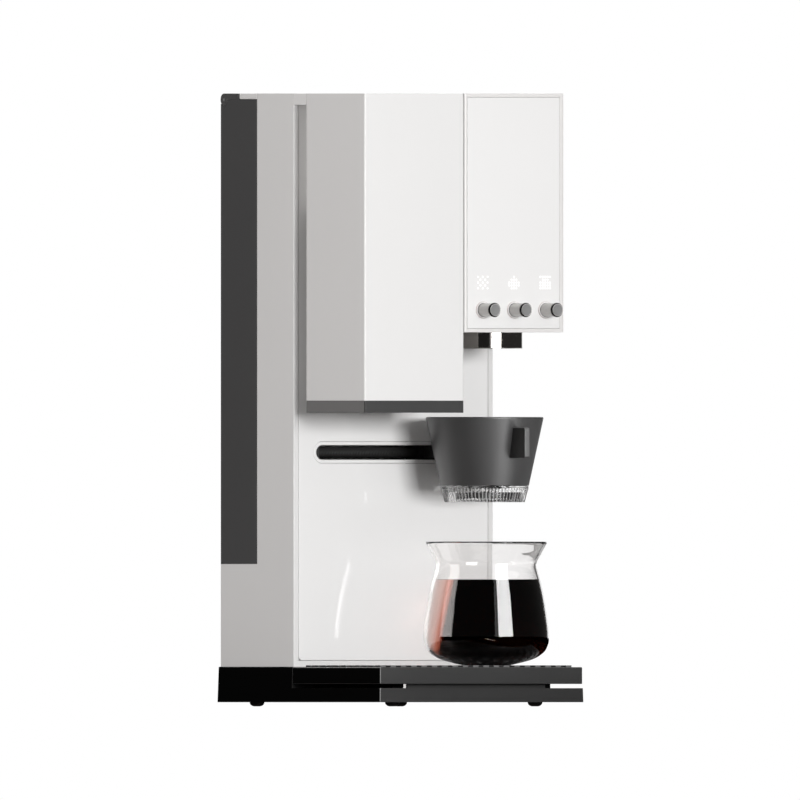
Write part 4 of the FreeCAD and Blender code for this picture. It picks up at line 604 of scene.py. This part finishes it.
def lathe(outline, centre, steps=128, closed=True, axis="Z"):
    """Draws half of a round piece's section point by point and spins it about its axis.

    The outline is in radii and places along the axis; the centre gives the other two coordinates."""
    number = "XYZ".index(axis)

    def place(radius, along):
        spot = [centre[0], centre[1]]
        spot.insert(number, along)
        spot[1 if number == 0 else 0] += radius
        return Vector(spot)

    at = place(*outline[0])
    piece = first_point(at)
    for point in [*outline[1:], *outline[:1]] if closed else outline[1:]:
        to = place(*point)
        draw_to(to - at)
        at = to
    bpy.ops.mesh.select_all(action="SELECT")
    bpy.ops.mesh.remove_doubles(threshold=1e-7)
    way = [0, 0, 0]
    way[number] = 1
    bpy.ops.mesh.spin(steps=steps, angle=math.tau, center=place(0, 0), axis=way)
    weld()
    close_edit()
    return piece


def rounded(outline, corners, segments):
    """Replaces sharp corners of an outline by arcs: a corner's number maps to its radius."""
    result = []
    count = len(outline)
    for number, point in enumerate(outline):
        radius = corners.get(number)
        if not radius:
            result.append(point)
            continue
        here = Vector(point)
        into = (Vector(outline[number - 1]) - here).normalized()
        out = (Vector(outline[(number + 1) % count]) - here).normalized()
        half = into.angle(out) / 2
        reach = radius / math.tan(half)
        centre = here + (into + out).normalized() * (radius / math.sin(half))
        first = here + into * reach - centre
        last = here + out * reach - centre
        turn = first.angle_signed(last)
        for step in range(segments + 1):
            spot = first.copy()
            spot.rotate(Matrix.Rotation(-turn * step / segments, 2))
            result.append(tuple(centre + spot))
    return result


def smooth_line(points, steps=6):
    """A smooth line through points, as a Catmull-Rom curve."""
    points = [Vector(point) for point in points]
    ends = [points[0] * 2 - points[1]] + points + [points[-1] * 2 - points[-2]]
    line = []
    for number in range(1, len(ends) - 2):
        before, start, end, after = ends[number - 1:number + 3]
        for step in range(steps):
            t = step / steps
            line.append(tuple(0.5 * (2 * start + (end - before) * t
                                     + (2 * before - 5 * start + 4 * end - after) * t * t
                                     + (3 * start - before - 3 * end + after) * t ** 3)))
    line.append(tuple(points[-1]))
    return line


def pick(piece, kind, test):
    """Opens a piece for editing with the vertices, edges or faces selected whose place passes a test."""
    edit(piece)
    bpy.ops.mesh.select_mode(type=kind)
    bpy.ops.object.mode_set(mode="OBJECT")
    mesh = piece.data
    if kind == "VERT":
        for vertex in mesh.vertices:
            vertex.select = test(vertex.co)
    elif kind == "EDGE":
        for line in mesh.edges:
            first, last = (mesh.vertices[number].co for number in line.vertices)
            line.select = test(first, last)
    else:
        for face in mesh.polygons:
            face.select = test(face.center, face.normal)
    bpy.ops.object.mode_set(mode="EDIT")


def paint_faces(piece, finish_name, test):
    """Gives some faces of a piece a second material."""
    piece.data.materials.append(material_named(finish_name))
    pick(piece, "FACE", test)
    piece.active_material_index = len(piece.data.materials) - 1
    bpy.ops.object.material_slot_assign()
    close_edit()


def join(pieces):
    """Joins pieces into the first one."""
    choose(*pieces)
    bpy.ops.object.join()
    return bpy.context.object


def bar(low, high, width=0.0, segments=2):
    """A box between two corners, with rounded edges where a width is given."""
    choose()
    low, high = Vector(low), Vector(high)
    bpy.ops.mesh.primitive_cube_add(size=1, location=(low + high) / 2)
    piece = bpy.context.object
    piece.scale = high - low
    settle(piece)
    if width:
        round_edges(piece, width, segments)
    return piece


def copy_piece(piece, way):
    """A copy of a piece with its own mesh, moved along."""
    choose(piece)
    bpy.ops.object.duplicate_move(TRANSFORM_OT_translate={"value": way})
    return settle(bpy.context.object)


# Pieces


class PieceOperator:
    """What the piece operators share."""

    bl_options = {"REGISTER", "UNDO"}


class MACHINE_OT_shells(PieceOperator, bpy.types.Operator):
    """Round the edges of the housings, panels, base, tank and trim, and paint shade and highlights onto the
    base and light onto the trim's side
    """

    bl_idname = "machine.shells"
    bl_label = "Shells and panels"

    def execute(self, context):
        pieces = {}
        for node, finish_name in SHELL_FINISH.items():
            width = sizes().shell_edge if node in BROAD_EDGES else sizes().fine_edge
            pieces[node] = finished_copy(node, finish_name, width)
        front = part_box("head_housing")[0].y + 0.5 * MM
        paint_faces(pieces["head_housing"], "rim_paint", lambda spot, normal: spot.y < front)
        left, end, corner = -0.97, 80 * MM, 70 * MM
        # Painted shade: the left-facing faces of the base, platform and tray are a darker, matter black
        # than their fronts.
        for node in ("base_housing", "scale_platform", "drip_tray"):
            paint_faces(pieces[node], "left_side_painted_shade", lambda spot, normal: normal.x < left)
        # Painted highlights: the bevels along the left edges of the base and platform are a lighter grey
        # where light catches them.
        for node in ("base_housing", "scale_platform"):
            paint_faces(pieces[node], "painted_edge_highlight", lambda spot, normal: left < normal.x < -0.1
                        and normal.z > -0.2 and abs(spot.x) > end)
        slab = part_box("scale_platform")[0].z
        paint_faces(pieces["base_housing"], "corner_gloss", lambda spot, normal: abs(normal.z) < 0.1
                    and abs(normal.y) > 0.02 and 0.02 < abs(normal.x) and abs(spot.x) < corner
                    and slab - 4 * MM < spot.z < slab + MM)
        # Painted light: the trim's left side is a lighter grey than its front.
        paint_faces(pieces["grinder_trim"], "trim_side_painted_light", lambda spot, normal: normal.x < -0.95)
        return {"FINISHED"}


class MACHINE_OT_inner_parts(PieceOperator, bpy.types.Operator):
    """Give the machined and moulded inner parts their materials"""

    bl_idname = "machine.inner_parts"
    bl_label = "Inner parts"

    def execute(self, context):
        for finish_name, nodes in INNER_FINISH.items():
            for node in nodes:
                mesh = frame["nodes"][node].data
                mesh.materials.clear()
                mesh.materials.append(material_named(finish_name))
        return {"FINISHED"}


class MACHINE_OT_feet(PieceOperator, bpy.types.Operator):
    """Turn four domed rubber feet with a dimple in the sole"""

    bl_idname = "machine.feet"
    bl_label = "Rubber feet"

    def execute(self, context):
        low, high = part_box("feet")
        radius, sole, dimple = 5.3 * MM, 1.6 * MM, 0.3 * MM
        height = high.z
        dome = height - 0.1 * MM
        outline = [(0, dimple), (0.7 * MM, dimple), (0.9 * MM, 0)]
        for step in range(11):
            turn = math.pi / 2 * step / 10
            outline.append((sole + (radius - sole) * math.sin(turn), dome * (1 - math.cos(turn))))
        outline += [(radius, height), (0, height)]
        piece = join([lathe(outline, (x, y), steps=40, closed=False)
                      for x in (low.x + radius, high.x - radius)
                      for y in (low.y + radius, high.y - radius)])
        smooth(piece)
        dress(piece, "rubber_feet", "machine", "rubber", ["feet"])
        return {"FINISHED"}


class MACHINE_OT_grille(PieceOperator, bpy.types.Operator):
    """Round the pads, slots and rim of the drip grille, and paint the pads' front faces a lighter grey as
    painted light
    """

    bl_idname = "machine.grille"
    bl_label = "Drip grille"

    def execute(self, context):
        grille = finished_copy("drip_grille", "black_grille", sizes().pad_edge)
        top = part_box("drip_grille")[1].z
        # Painted light: the pads' front faces are a lighter grey than the rest of the grille.
        paint_faces(grille, "pad_face_painted_light", lambda spot, normal: normal.y < -0.7 and spot.z > top - 1.4 * MM)
        return {"FINISHED"}


class MACHINE_OT_lead_screw(PieceOperator, bpy.types.Operator):
    """Sweep the lead screw's six-start thread and set a journal in each end"""

    bl_idname = "machine.lead_screw"
    bl_label = "Lead screw"

    def execute(self, context):
        low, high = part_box("carriage_screw")
        axis_y, axis_z = (low.y + high.y) / 2, (low.z + high.z) / 2
        crest = (high.z - low.z) / 2
        root = crest - sizes().thread_depth
        pitch = sizes().thread_pitch
        starts = 6
        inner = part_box("rail_brackets")[1].x - 4.3 * MM
        lead = pitch * starts
        piece = first_point((-inner - lead, axis_y, axis_z + root))
        rise = crest - root
        flat, flank = pitch * 0.3, pitch * 0.2
        for along, up in ((flat, 0), (flank, rise), (flat, 0), (flank, -rise)) * starts:
            draw_to((along, 0, up))
        close_edit()
        turns = math.ceil(2 * inner / lead) + 2
        axis = Vector((0, axis_y, axis_z))
        piece.data.transform(Matrix.Translation(-axis))
        apply_modifier(piece, "SCREW", axis="X", angle=math.tau, screw_offset=lead, iterations=turns,
                       steps=24, render_steps=24, use_merge_vertices=True, merge_threshold=1e-6)
        piece.data.transform(Matrix.Translation(axis))
        for x, way in ((-inner, -1), (inner, 1)):
            edit(piece, "SELECT")
            bpy.ops.mesh.bisect(plane_co=(x, axis_y, axis_z), plane_no=(way, 0, 0), clear_outer=True,
                                use_fill=True)
            close_edit()
        edit(piece)
        weld()
        close_edit()
        journal = 2.5 * MM
        ends = [lathe([(0, x0), (journal, x0), (journal, x1), (0, x1)], (axis_y, axis_z), 32, False, "X")
                for x0, x1 in ((low.x, -inner), (inner, high.x))]
        piece = join([piece, *ends])
        smooth(piece, 35)
        dress(piece, "threaded_screw", "lead_screw", "screw_black", ["carriage_screw"])
        return {"FINISHED"}


class MACHINE_OT_dripper(PieceOperator, bpy.types.Operator):
    """Turn the dripper's cone, its tab and dock pad, and the clear basket with its ribbed skirt"""

    bl_idname = "machine.dripper"
    bl_label = "Dripper"

    def execute(self, context):
        low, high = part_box("dripper_sleeve")
        middle = middle_of("drip_outlet")
        centre = (middle.x, middle.y)
        top_radius = (high.x - low.x) / 2
        foot_radius = 31.75 * MM
        wall = 2.4 * MM
        outline = rounded([(foot_radius - wall, low.z), (foot_radius, low.z), (top_radius, high.z),
                           (top_radius - wall, high.z)],
                          {0: 0.4 * MM, 1: 0.6 * MM, 2: 0.9 * MM, 3: 0.5 * MM}, segments=4)
        cone = lathe(outline, centre, steps=160)

        def cone_at(z):
            return foot_radius + (top_radius - foot_radius) * (z - low.z) / (high.z - low.z)

        tab_top, tab_foot, half = 200.2 * MM, 178.2 * MM, 2.1 * MM
        tab = bar((middle.x - half, low.y + 0.06 * MM, tab_foot), (middle.x + half, middle.y, tab_top))
        for z in (tab_foot, tab_top):
            pick(tab, "VERT", lambda spot: spot.y > middle.y - MM and abs(spot.z - z) < 1e-5)
            bpy.ops.transform.translate(value=(0, -(cone_at(z) - wall / 2), 0))
            close_edit()
        pick(tab, "EDGE", lambda a, b: abs(a.y - b.y) < 1e-6 and abs(a.z - b.z) < 1e-6 and a.y < low.y + MM)
        bpy.ops.mesh.bevel(offset=1.9 * MM, segments=5, affect="EDGES")
        close_edit()
        round_edges(tab, 0.45 * MM, 2, 50)
        pad_half, pad_foot, pad_top = 12 * MM, 168 * MM, 190 * MM
        pad = bar((middle.x - pad_half, middle.y + foot_radius - wall / 2, pad_foot),
                  (middle.x + pad_half, high.y - 0.01 * MM, pad_top), 0.8 * MM, 3)
        sleeve = join([cone, tab, pad])
        smooth(sleeve)
        dress(sleeve, "dripper_cone", "dripper", "dark_satin", ["dripper_sleeve"])
        # Painted light and shade: the tab's front is a lighter grey and its left side darker than the cone.
        paint_faces(sleeve, "tab_face_painted_light", lambda spot, normal: spot.y < low.y + 2.4 * MM and normal.y < -0.6
                    and normal.x > -0.8)
        paint_faces(sleeve, "tab_side_painted_shade", lambda spot, normal: normal.x < -0.9 and abs(normal.z) < 0.1
                    and middle.x - half - 0.1 * MM < spot.x < middle.x and spot.y < middle.y - 20 * MM)

        skirt_foot, rim = (corner.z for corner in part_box("filter_basket"))
        flange = low.z - 1.6 * MM
        inset, thick, rib, step = wall + 0.3 * MM, 1.6 * MM, 0.7 * MM, 0.15 * MM
        skirt_out = 28.8 * MM - rib
        shoulder = foot_radius - rib - 0.2 * MM
        floor = skirt_foot + 7.3 * MM
        hole = 25 * MM / 3
        body = [
            (hole, floor), (skirt_out - thick, floor), (skirt_out - thick, skirt_foot),
            (skirt_out, skirt_foot), (shoulder, flange - step), (shoulder, flange), (foot_radius, flange),
            (foot_radius, low.z), (foot_radius - inset, low.z), (cone_at(rim) - inset, rim),
            (cone_at(rim) - inset - thick, rim), (foot_radius - inset - thick, low.z + thick),
            (hole, floor + thick),
        ]
        corners = {3: 0.35 * MM, 6: 0.4 * MM, 7: 0.4 * MM, 9: 0.5 * MM, 10: 0.5 * MM}
        body = rounded(body, corners, segments=2)
        count = sizes().skirt_ribs
        basket = lathe(body, centre, steps=count * 4)
        axis = Vector((middle.x, middle.y, 0))
        share = math.tau / count

        def skirt_at(z):
            return skirt_out + (shoulder - skirt_out) * (z - skirt_foot) / (flange - skirt_foot)

        def on_rib(spot):
            flat = Vector((spot.x, spot.y, 0)) - axis
            turn = (math.atan2(flat.y, flat.x) / share + 0.25) % 1
            return spot.z < flange - step / 2 and flat.length > skirt_at(spot.z) - 0.5 * MM and turn < 0.5

        pick(basket, "VERT", on_rib)
        grow = 1 + rib / skirt_out
        bpy.ops.transform.resize(value=(grow, grow, 1), center_override=(middle.x, middle.y, 0))
        close_edit()
        smooth(basket, 25)
        dress(basket, "ribbed_basket", "dripper", "clear_plastic", ["filter_basket"])
        basket.visible_shadow = basket.visible_diffuse = False
        # Painted highlights: the ribs' outer faces are a pale, half-clear white for the light lines that
        # the ribs show.
        paint_faces(basket, "rib_painted_highlight", lambda spot, normal: spot.z < flange - step / 2
                    and (Vector((spot.x, spot.y, 0)) - axis).length > skirt_at(spot.z) * grow - 0.25 * MM)
        outlet = finished_copy("drip_outlet", "outlet_black", sizes().fine_edge)
        outlet.visible_shadow = False
        split = skirt_foot + 3.0 * MM
        edit(outlet, "SELECT")
        bpy.ops.mesh.bisect(plane_co=(0, 0, split), plane_no=(0, 0, 1))
        close_edit()
        paint_faces(outlet, "clear_plastic", lambda spot, normal: spot.z < split)
        return {"FINISHED"}


class MACHINE_OT_nozzle(PieceOperator, bpy.types.Operator):
    """Turn the polished nozzle under the brew head"""

    bl_idname = "machine.nozzle"
    bl_label = "Nozzle"

    def execute(self, context):
        low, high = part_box("nozzle")
        middle = (low + high) / 2
        radius = (high.x - low.x) / 2
        wall, stem, barb, bore = 2 * MM, 6.7 * MM, 4 * MM, 2.5 * MM
        shoulder = high.z - 6 * MM
        outline = rounded([(radius - wall, low.z), (radius, low.z), (radius, shoulder), (stem, shoulder),
                           (stem, high.z - MM), (barb, high.z), (bore, high.z), (bore, shoulder - wall),
                           (radius - wall, shoulder - wall)], {0: 0.4 * MM, 1: 0.5 * MM, 2: 0.3 * MM}, 4)
        piece = lathe(outline, (middle.x, middle.y), steps=160)
        smooth(piece)
        dress(piece, "polished_drum", "machine", "nozzle_mirror", ["nozzle"])
        return {"FINISHED"}


# For each knob, the columns of its lamp dots, row by row from the top.
LAMP_ROWS = {
    "left": ((0, 2, 4), (1, 3), (0, 2, 4), (1, 3), (0, 2, 4)),
    "centre": ((2,), (1, 2, 3), (0, 1, 2, 3, 4), (0, 1, 2, 3, 4), (1, 2, 3)),
    "right": ((0, 1, 2, 3, 4), (1, 2, 3), (0, 1, 2, 3, 4), (0, 1, 2, 3, 4), (0, 1, 2, 3, 4)),
}


def reach(spot, centre):
    """Distance of a spot from an axis that runs from front to back."""
    return (Vector((spot.x, spot.z)) - Vector((centre.x, centre.z))).length


class MACHINE_OT_knobs(PieceOperator, bpy.types.Operator):
    """Turn the three knobs: a metal sleeve, a dark band and a turned face"""

    bl_idname = "machine.knobs"
    bl_label = "Knobs"

    def execute(self, context):
        for side in LAMP_ROWS:
            low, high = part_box(side + "_knob")
            middle = (low + high) / 2
            cap, sleeve, bore = (high.x - low.x) / 2, 4.8 * MM, 1.55 * MM
            tip, dish, bottom = low.y, low.y + 0.05 * MM, low.y + 13.8 * MM
            face = cap * 0.84
            outline = [(0, dish), (face - 0.25 * MM, dish), (face, tip), (face + 0.1 * MM, dish),
                       (cap, tip + 1.0 * MM), (cap, tip + 1.9 * MM), (sleeve, tip + 2.1 * MM),
                       (sleeve, high.y), (bore, high.y), (bore, bottom), (0, bottom)]
            piece = lathe(outline, (middle.x, middle.z), 64, False, "Y")
            smooth(piece, 25)
            dress(piece, side + "_turned_knob", side + "_dial", "knob_metal",
                  [side + "_knob"])
            paint_faces(piece, "knob_band", lambda spot, normal: tip + 0.2 * MM < spot.y < tip + 2.05 * MM
                        and reach(spot, middle) > face)
            paint_faces(piece, "knob_face", lambda spot, normal: spot.y < tip + 0.2 * MM
                        and reach(spot, middle) < face - 0.3 * MM)
        low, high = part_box("knob_collars")
        rings = []
        middles = [middle_of(side + "_knob") for side in LAMP_ROWS]
        for middle in middles:
            rim = high.z - middle.z
            outline = [(5.0 * MM, high.y), (5.0 * MM, low.y + 0.1 * MM), (5.1 * MM, low.y),
                       (rim - 0.45 * MM, low.y), (rim, low.y + 0.45 * MM), (rim, high.y)]
            rings.append(lathe(outline, (middle.x, middle.z), 96, True, "Y"))
        collars = join(rings)
        smooth(collars, 25)
        dress(collars, "collar_rings", "machine", "collar_white", ["knob_collars"])
        # Painted shade: the collars' outer sides and chamfers are a pinkish grey, darker than their white
        # fronts.
        paint_faces(collars, "collar_rim_painted_shade",
                    lambda spot, normal: low.y + 0.05 * MM < spot.y < high.y - 0.05 * MM and normal.y > -0.9
                    and min(reach(spot, middle) for middle in middles) > 5.4 * MM)
        return {"FINISHED"}


class MACHINE_OT_lamps(PieceOperator, bpy.types.Operator):
    """Set the lamp dots over each knob into the display"""

    bl_idname = "machine.lamps"
    bl_label = "Lamp dots"

    def execute(self, context):
        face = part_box("display_panel")[0].y
        pitch, radius = sizes().dot_pitch, sizes().dot_width / 2
        front, back = face - 0.06 * MM, face + 0.3 * MM
        outline = [(0, front), (radius * 0.8, front), (radius, face), (radius, back), (0, back)]
        first = lathe(outline, (0, 0), 16, False, "Y")
        dots = [first]
        for side, rows in LAMP_ROWS.items():
            middle = middle_of(side + "_knob")
            for row, columns in enumerate(rows):
                for column in columns:
                    x = middle.x + (column - 2) * pitch
                    z = middle.z + sizes().dot_rise + (2 - row) * pitch
                    dots.append(copy_piece(first, (x, 0, z)))
        bpy.data.objects.remove(dots.pop(0))
        piece = join(dots)
        smooth(piece)
        dress(piece, "lamp_dots", "machine", "lamp_dot")
        return {"FINISHED"}


# Radius and height, in millimetres, of points on the carafe's outer line.
CARAFE_RINGS = (
    (16.0, 29.6), (17.8, 29.67), (31.3, 33.1), (38.5, 36.6), (43.3, 41.8), (45.15, 52.0), (42.0, 76.0),
    (39.0, 90.4), (36.2, 102.0), (39.5, 109.8), (43.4, 117.0),
)


def carafe_walls():
    """Outer and inner lines of the carafe's section, from the foot to the lip."""
    outer = smooth_line([(radius * MM, height * MM) for radius, height in CARAFE_RINGS])
    wall = 1.8 * MM
    inner = []
    for number, spot in enumerate(outer):
        before = Vector(outer[max(0, number - 1)])
        after = Vector(outer[min(len(outer) - 1, number + 1)])
        along = (after - before).normalized()
        inner.append((spot[0] - along.y * wall, spot[1] + along.x * wall))
    return outer, inner


class MACHINE_OT_carafe(PieceOperator, bpy.types.Operator):
    """Turn the glass carafe and the coffee in it"""

    bl_idname = "machine.carafe"
    bl_label = "Carafe and coffee"

    def execute(self, context):
        middle = middle_of("carafe")
        centre = (middle.x, middle.y)
        outer, inner = carafe_walls()
        lip_out, lip_in = Vector(outer[-1]), Vector(inner[-1])
        rise = (lip_out - Vector(outer[-2])).normalized() * 0.9 * MM
        centre_line, half = (lip_out + lip_in) / 2, (lip_out - lip_in) / 2
        turns = [math.pi * step / 6 for step in range(1, 6)]
        lip = [tuple(centre_line + half * math.cos(turn) + rise * math.sin(turn)) for turn in turns]
        outline = [(0, outer[0][1]), *outer, *lip, *reversed(inner), (0, inner[0][1])]
        glass = lathe(outline, centre, steps=128, closed=False)
        smooth(glass, 60)
        dress(glass, "glass_carafe", "carafe", "carafe_glass", ["carafe"])
        glass.visible_shadow = glass.visible_diffuse = False

        level, gap = sizes().coffee_level, sizes().glass_gap
        flat = level - 0.4 * MM
        wet = [(radius - gap, height + gap) for radius, height in inner if height < flat]
        last, above = wet[-1], next(spot for spot in inner if spot[1] >= flat)
        part = (level - last[1]) / (above[1] - last[1])
        edge = last[0] + (above[0] - gap - last[0]) * part
        surface = [(edge, level), (edge - 0.3 * MM, level - 0.25 * MM), (edge - 1.2 * MM, flat)]
        outline = [(0, wet[0][1]), *wet, *surface, (0, flat)]
        coffee = lathe(outline, centre, steps=128, closed=False)
        smooth(coffee, 50)
        dress(coffee, "brewed_coffee", "carafe", "coffee_liquid")
        coffee.visible_shadow = False
        return {"FINISHED"}


# Stage


# Cards round the machine: name, azimuths from and to in degrees, top in metres and brightness.
ROUND_CARDS = (
    ("dark_front_card", -100, -14, 2.4, 0.02),
    ("pale_left_card", -130, -100, 2.4, 3.2),
    ("dark_left_card", -180, -130, 2.4, 0.02),
    ("dark_right_card", 19, 124, 1.0, 0.035),
)
CARD_FOOT = -0.2
STRIP_TURN, STRIP_TOP = (-10, 19), 1.35
WHITE = (1, 1, 1)


def soft_lamp(name, azimuth, elevation, distance, width, height, level):
    """A soft rectangular lamp of an even brightness that faces the machine and that no mirror shows."""
    around, up = math.radians(azimuth), math.radians(elevation)
    way = Vector((math.sin(around) * math.cos(up), -math.cos(around) * math.cos(up), math.sin(up)))
    data = bpy.data.lights.new(name, "AREA")
    data.shape = "RECTANGLE"
    data.size, data.size_y = width, height
    data.energy = level * math.pi * width * height
    lamp = bpy.data.objects.new(name, data)
    bpy.context.scene.collection.objects.link(lamp)
    lamp.location = way * distance
    lamp.rotation_euler = way.to_track_quat("Z", "Y").to_euler()
    lamp.visible_glossy = lamp.visible_transmission = False
    return lamp


def mirror_only(piece, material):
    """Shows a card to mirrors and glass only."""
    piece.data.materials.append(material)
    for ray in ("camera", "diffuse", "volume_scatter", "shadow"):
        setattr(piece, "visible_" + ray, False)
    return piece


def mirror_card(name, start, end, foot, top, level, radius=2.0, centre=(0, 0), tint=(1.0, 0.97, 0.95)):
    """A curved card that only mirrors and glass see, from one azimuth to another round a centre."""
    choose()
    bpy.ops.mesh.primitive_cylinder_add(vertices=120, radius=radius, depth=top - foot,
                                        end_fill_type="NOTHING", location=(*centre, (foot + top) / 2))
    piece = settle(bpy.context.object)
    middle, half = (start + end) / 2, (end - start) / 2

    def outside(spot, normal):
        turn = math.degrees(math.atan2(spot.x - centre[0], centre[1] - spot.y))
        return abs((turn - middle + 180) % 360 - 180) > half

    pick(piece, "FACE", outside)
    bpy.ops.mesh.delete(type="FACE")
    bpy.ops.mesh.select_all(action="SELECT")
    bpy.ops.mesh.flip_normals()
    close_edit()
    piece.name = name
    return mirror_only(piece, card_finish(name, level, tint))


def floor_card(name, spot, width, depth, level, ember=False):
    """A flat card over the floor that only mirrors and glass see: even, or dark with fine warm glints."""
    choose()
    bpy.ops.mesh.primitive_plane_add(size=1, location=(spot.x, spot.y, 0.4 * MM))
    piece = bpy.context.object
    piece.scale = (width, depth, 1)
    settle(piece)
    piece.name = name
    material = card_finish(name, level, (1.0, 0.2, 0.06) if ember else WHITE)
    if ember:
        tree = material.node_tree
        glints = noise(tree, {"Vector": place_on(tree)}, Scale=900.0, Detail=2.0)
        amount = math_node(tree, "SUBTRACT", glints, 0.65)
        amount = math_node(tree, "MULTIPLY", amount, 12.0, clamp=True)
        tree.links.new(math_node(tree, "MULTIPLY", amount, level * 3),
                       tree.nodes["Principled BSDF"].inputs["Emission Strength"])
    return mirror_only(piece, material)


def studio_world():
    """White for the camera, for mirrors and through glass, and soft for lighting."""
    world = bpy.data.worlds.new("studio")
    bpy.context.scene.world = world
    world.use_nodes = True
    tree = world.node_tree
    tree.nodes.clear()
    path = tree.nodes.new("ShaderNodeLightPath")
    soft = add_node(tree, "ShaderNodeBackground", Color=(1.0, 0.98, 0.965, 1), Strength=stage().air_light)
    white = add_node(tree, "ShaderNodeBackground", Color=(1, 1, 1, 1), Strength=1.0)
    seen = math_node(tree, "MAXIMUM", path.outputs["Is Camera Ray"], path.outputs["Is Transmission Ray"])
    seen = math_node(tree, "MAXIMUM", seen, path.outputs["Is Glossy Ray"])
    mix_shaders(tree, seen, soft.outputs[0], white.outputs[0], tree.nodes.new("ShaderNodeOutputWorld"))


class MACHINE_OT_stage(PieceOperator, bpy.types.Operator):
    """Set up the floor, the lamps, the world and the camera"""

    bl_idname = "machine.stage"
    bl_label = "Stage"

    def execute(self, context):
        choose()
        bpy.ops.mesh.primitive_plane_add(size=6, location=(0, 0, 0))
        floor = context.object
        floor.name = "studio_floor"
        floor.data.materials.append(material_named("floor_paper"))
        floor.visible_diffuse = False
        scene = context.scene
        scene.view_settings.view_transform = "Standard"
        look = stage()
        soft_lamp("key_lamp", -5, 10, 2.4, 0.8, 0.4, look.key_glow)
        mirror_card("strip_card", *STRIP_TURN, CARD_FOOT, STRIP_TOP, look.strip_glow, tint=WHITE)
        mirror_card("strip_edge_card", -14, STRIP_TURN[0], CARD_FOOT, STRIP_TOP, 0.7, tint=WHITE)
        side = soft_lamp("side_lamp", -83, 20, 1.7, 0.9, 1.1, look.side_glow)
        side.data.color = (1.0, 0.975, 0.965)
        soft_lamp("top_lamp", 0, 90, 2.5, 0.8, 0.8, look.top_glow)
        middle = middle_of("carafe")
        for name, start, end, top, level in ROUND_CARDS:
            mirror_card(name, start, end, CARD_FOOT, top, level)
        mirror_card("low_card", -180, 180, 0.0, 0.045, 0.0, 0.3, (middle.x, middle.y))
        corner = (-0.067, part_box("scale_platform")[0].y + 6 * MM)
        mirror_card("glint_card", *STRIP_TURN, 12.5 * MM, 16.5 * MM, look.strip_glow, 0.15, corner)
        floor_card("dark_floor_card", middle, 0.6, 0.6, 0.25, ember=True)
        ahead = middle + Vector((math.sin(0.25), -math.cos(0.25), 0)) * 0.55
        floor_card("glow_card", ahead, 0.26, 0.42, look.floor_glow)
        floor_card("shade_card", Vector((-0.6, 0.2, 0)), 0.6, 1.1, 0.1)
        studio_world()
        camera = bpy.data.objects.new("photo_camera", bpy.data.cameras.new("photo_camera"))
        scene.collection.objects.link(camera)
        camera.data.type = "ORTHO"
        camera.data.ortho_scale = look.view_width
        camera.data.clip_start, camera.data.clip_end = 0.05, 20
        turn = look.camera_turn
        back = Vector((-math.sin(turn), -math.cos(turn), 0))
        across = Vector((math.cos(turn), -math.sin(turn), 0)) * look.camera_shift
        camera.location = Vector((0, 0, look.centre_height)) + back * 3 - across
        camera.rotation_euler = back.to_track_quat("Z", "Y").to_euler()
        scene.camera = camera
        return {"FINISHED"}


class MACHINE_PT_panel(bpy.types.Panel):
    """Lists the machine's pieces, sizes and finishes"""

    bl_label = "Coffee maker"
    bl_idname = "MACHINE_PT_panel"
    bl_space_type = "VIEW_3D"
    bl_region_type = "UI"
    bl_category = "Coffee maker"

    def draw(self, context):
        layout = self.layout
        for place in PROPERTY_GROUPS:
            group = getattr(context.scene, place)
            box = layout.box()
            box.label(text=group.__doc__)
            for name in group.__annotations__:
                box.prop(group, name)
        for operator in OPERATORS:
            layout.operator(operator.bl_idname)


PROPERTY_GROUPS = {
    "machine_sizes": MachineSizes,
    "machine_finish": MachineFinish,
    "machine_stage": MachineStage,
}
OPERATORS = (
    MACHINE_OT_shells,
    MACHINE_OT_inner_parts,
    MACHINE_OT_feet,
    MACHINE_OT_grille,
    MACHINE_OT_lead_screw,
    MACHINE_OT_dripper,
    MACHINE_OT_nozzle,
    MACHINE_OT_knobs,
    MACHINE_OT_lamps,
    MACHINE_OT_carafe,
    MACHINE_OT_stage,
)
CLASSES = (*PROPERTY_GROUPS.values(), *OPERATORS, MACHINE_PT_panel)


def register():
    for group in CLASSES:
        bpy.utils.register_class(group)
    for name, group in PROPERTY_GROUPS.items():
        setattr(bpy.types.Scene, name, PointerProperty(type=group))


def unregister():
    for name in PROPERTY_GROUPS:
        delattr(bpy.types.Scene, name)
    for group in reversed(CLASSES):
        bpy.utils.unregister_class(group)


def main():
    register()
    for operator in OPERATORS:
        getattr(bpy.ops.machine, operator.bl_idname.split(".")[1])()


if __name__ == "__main__":
    main()
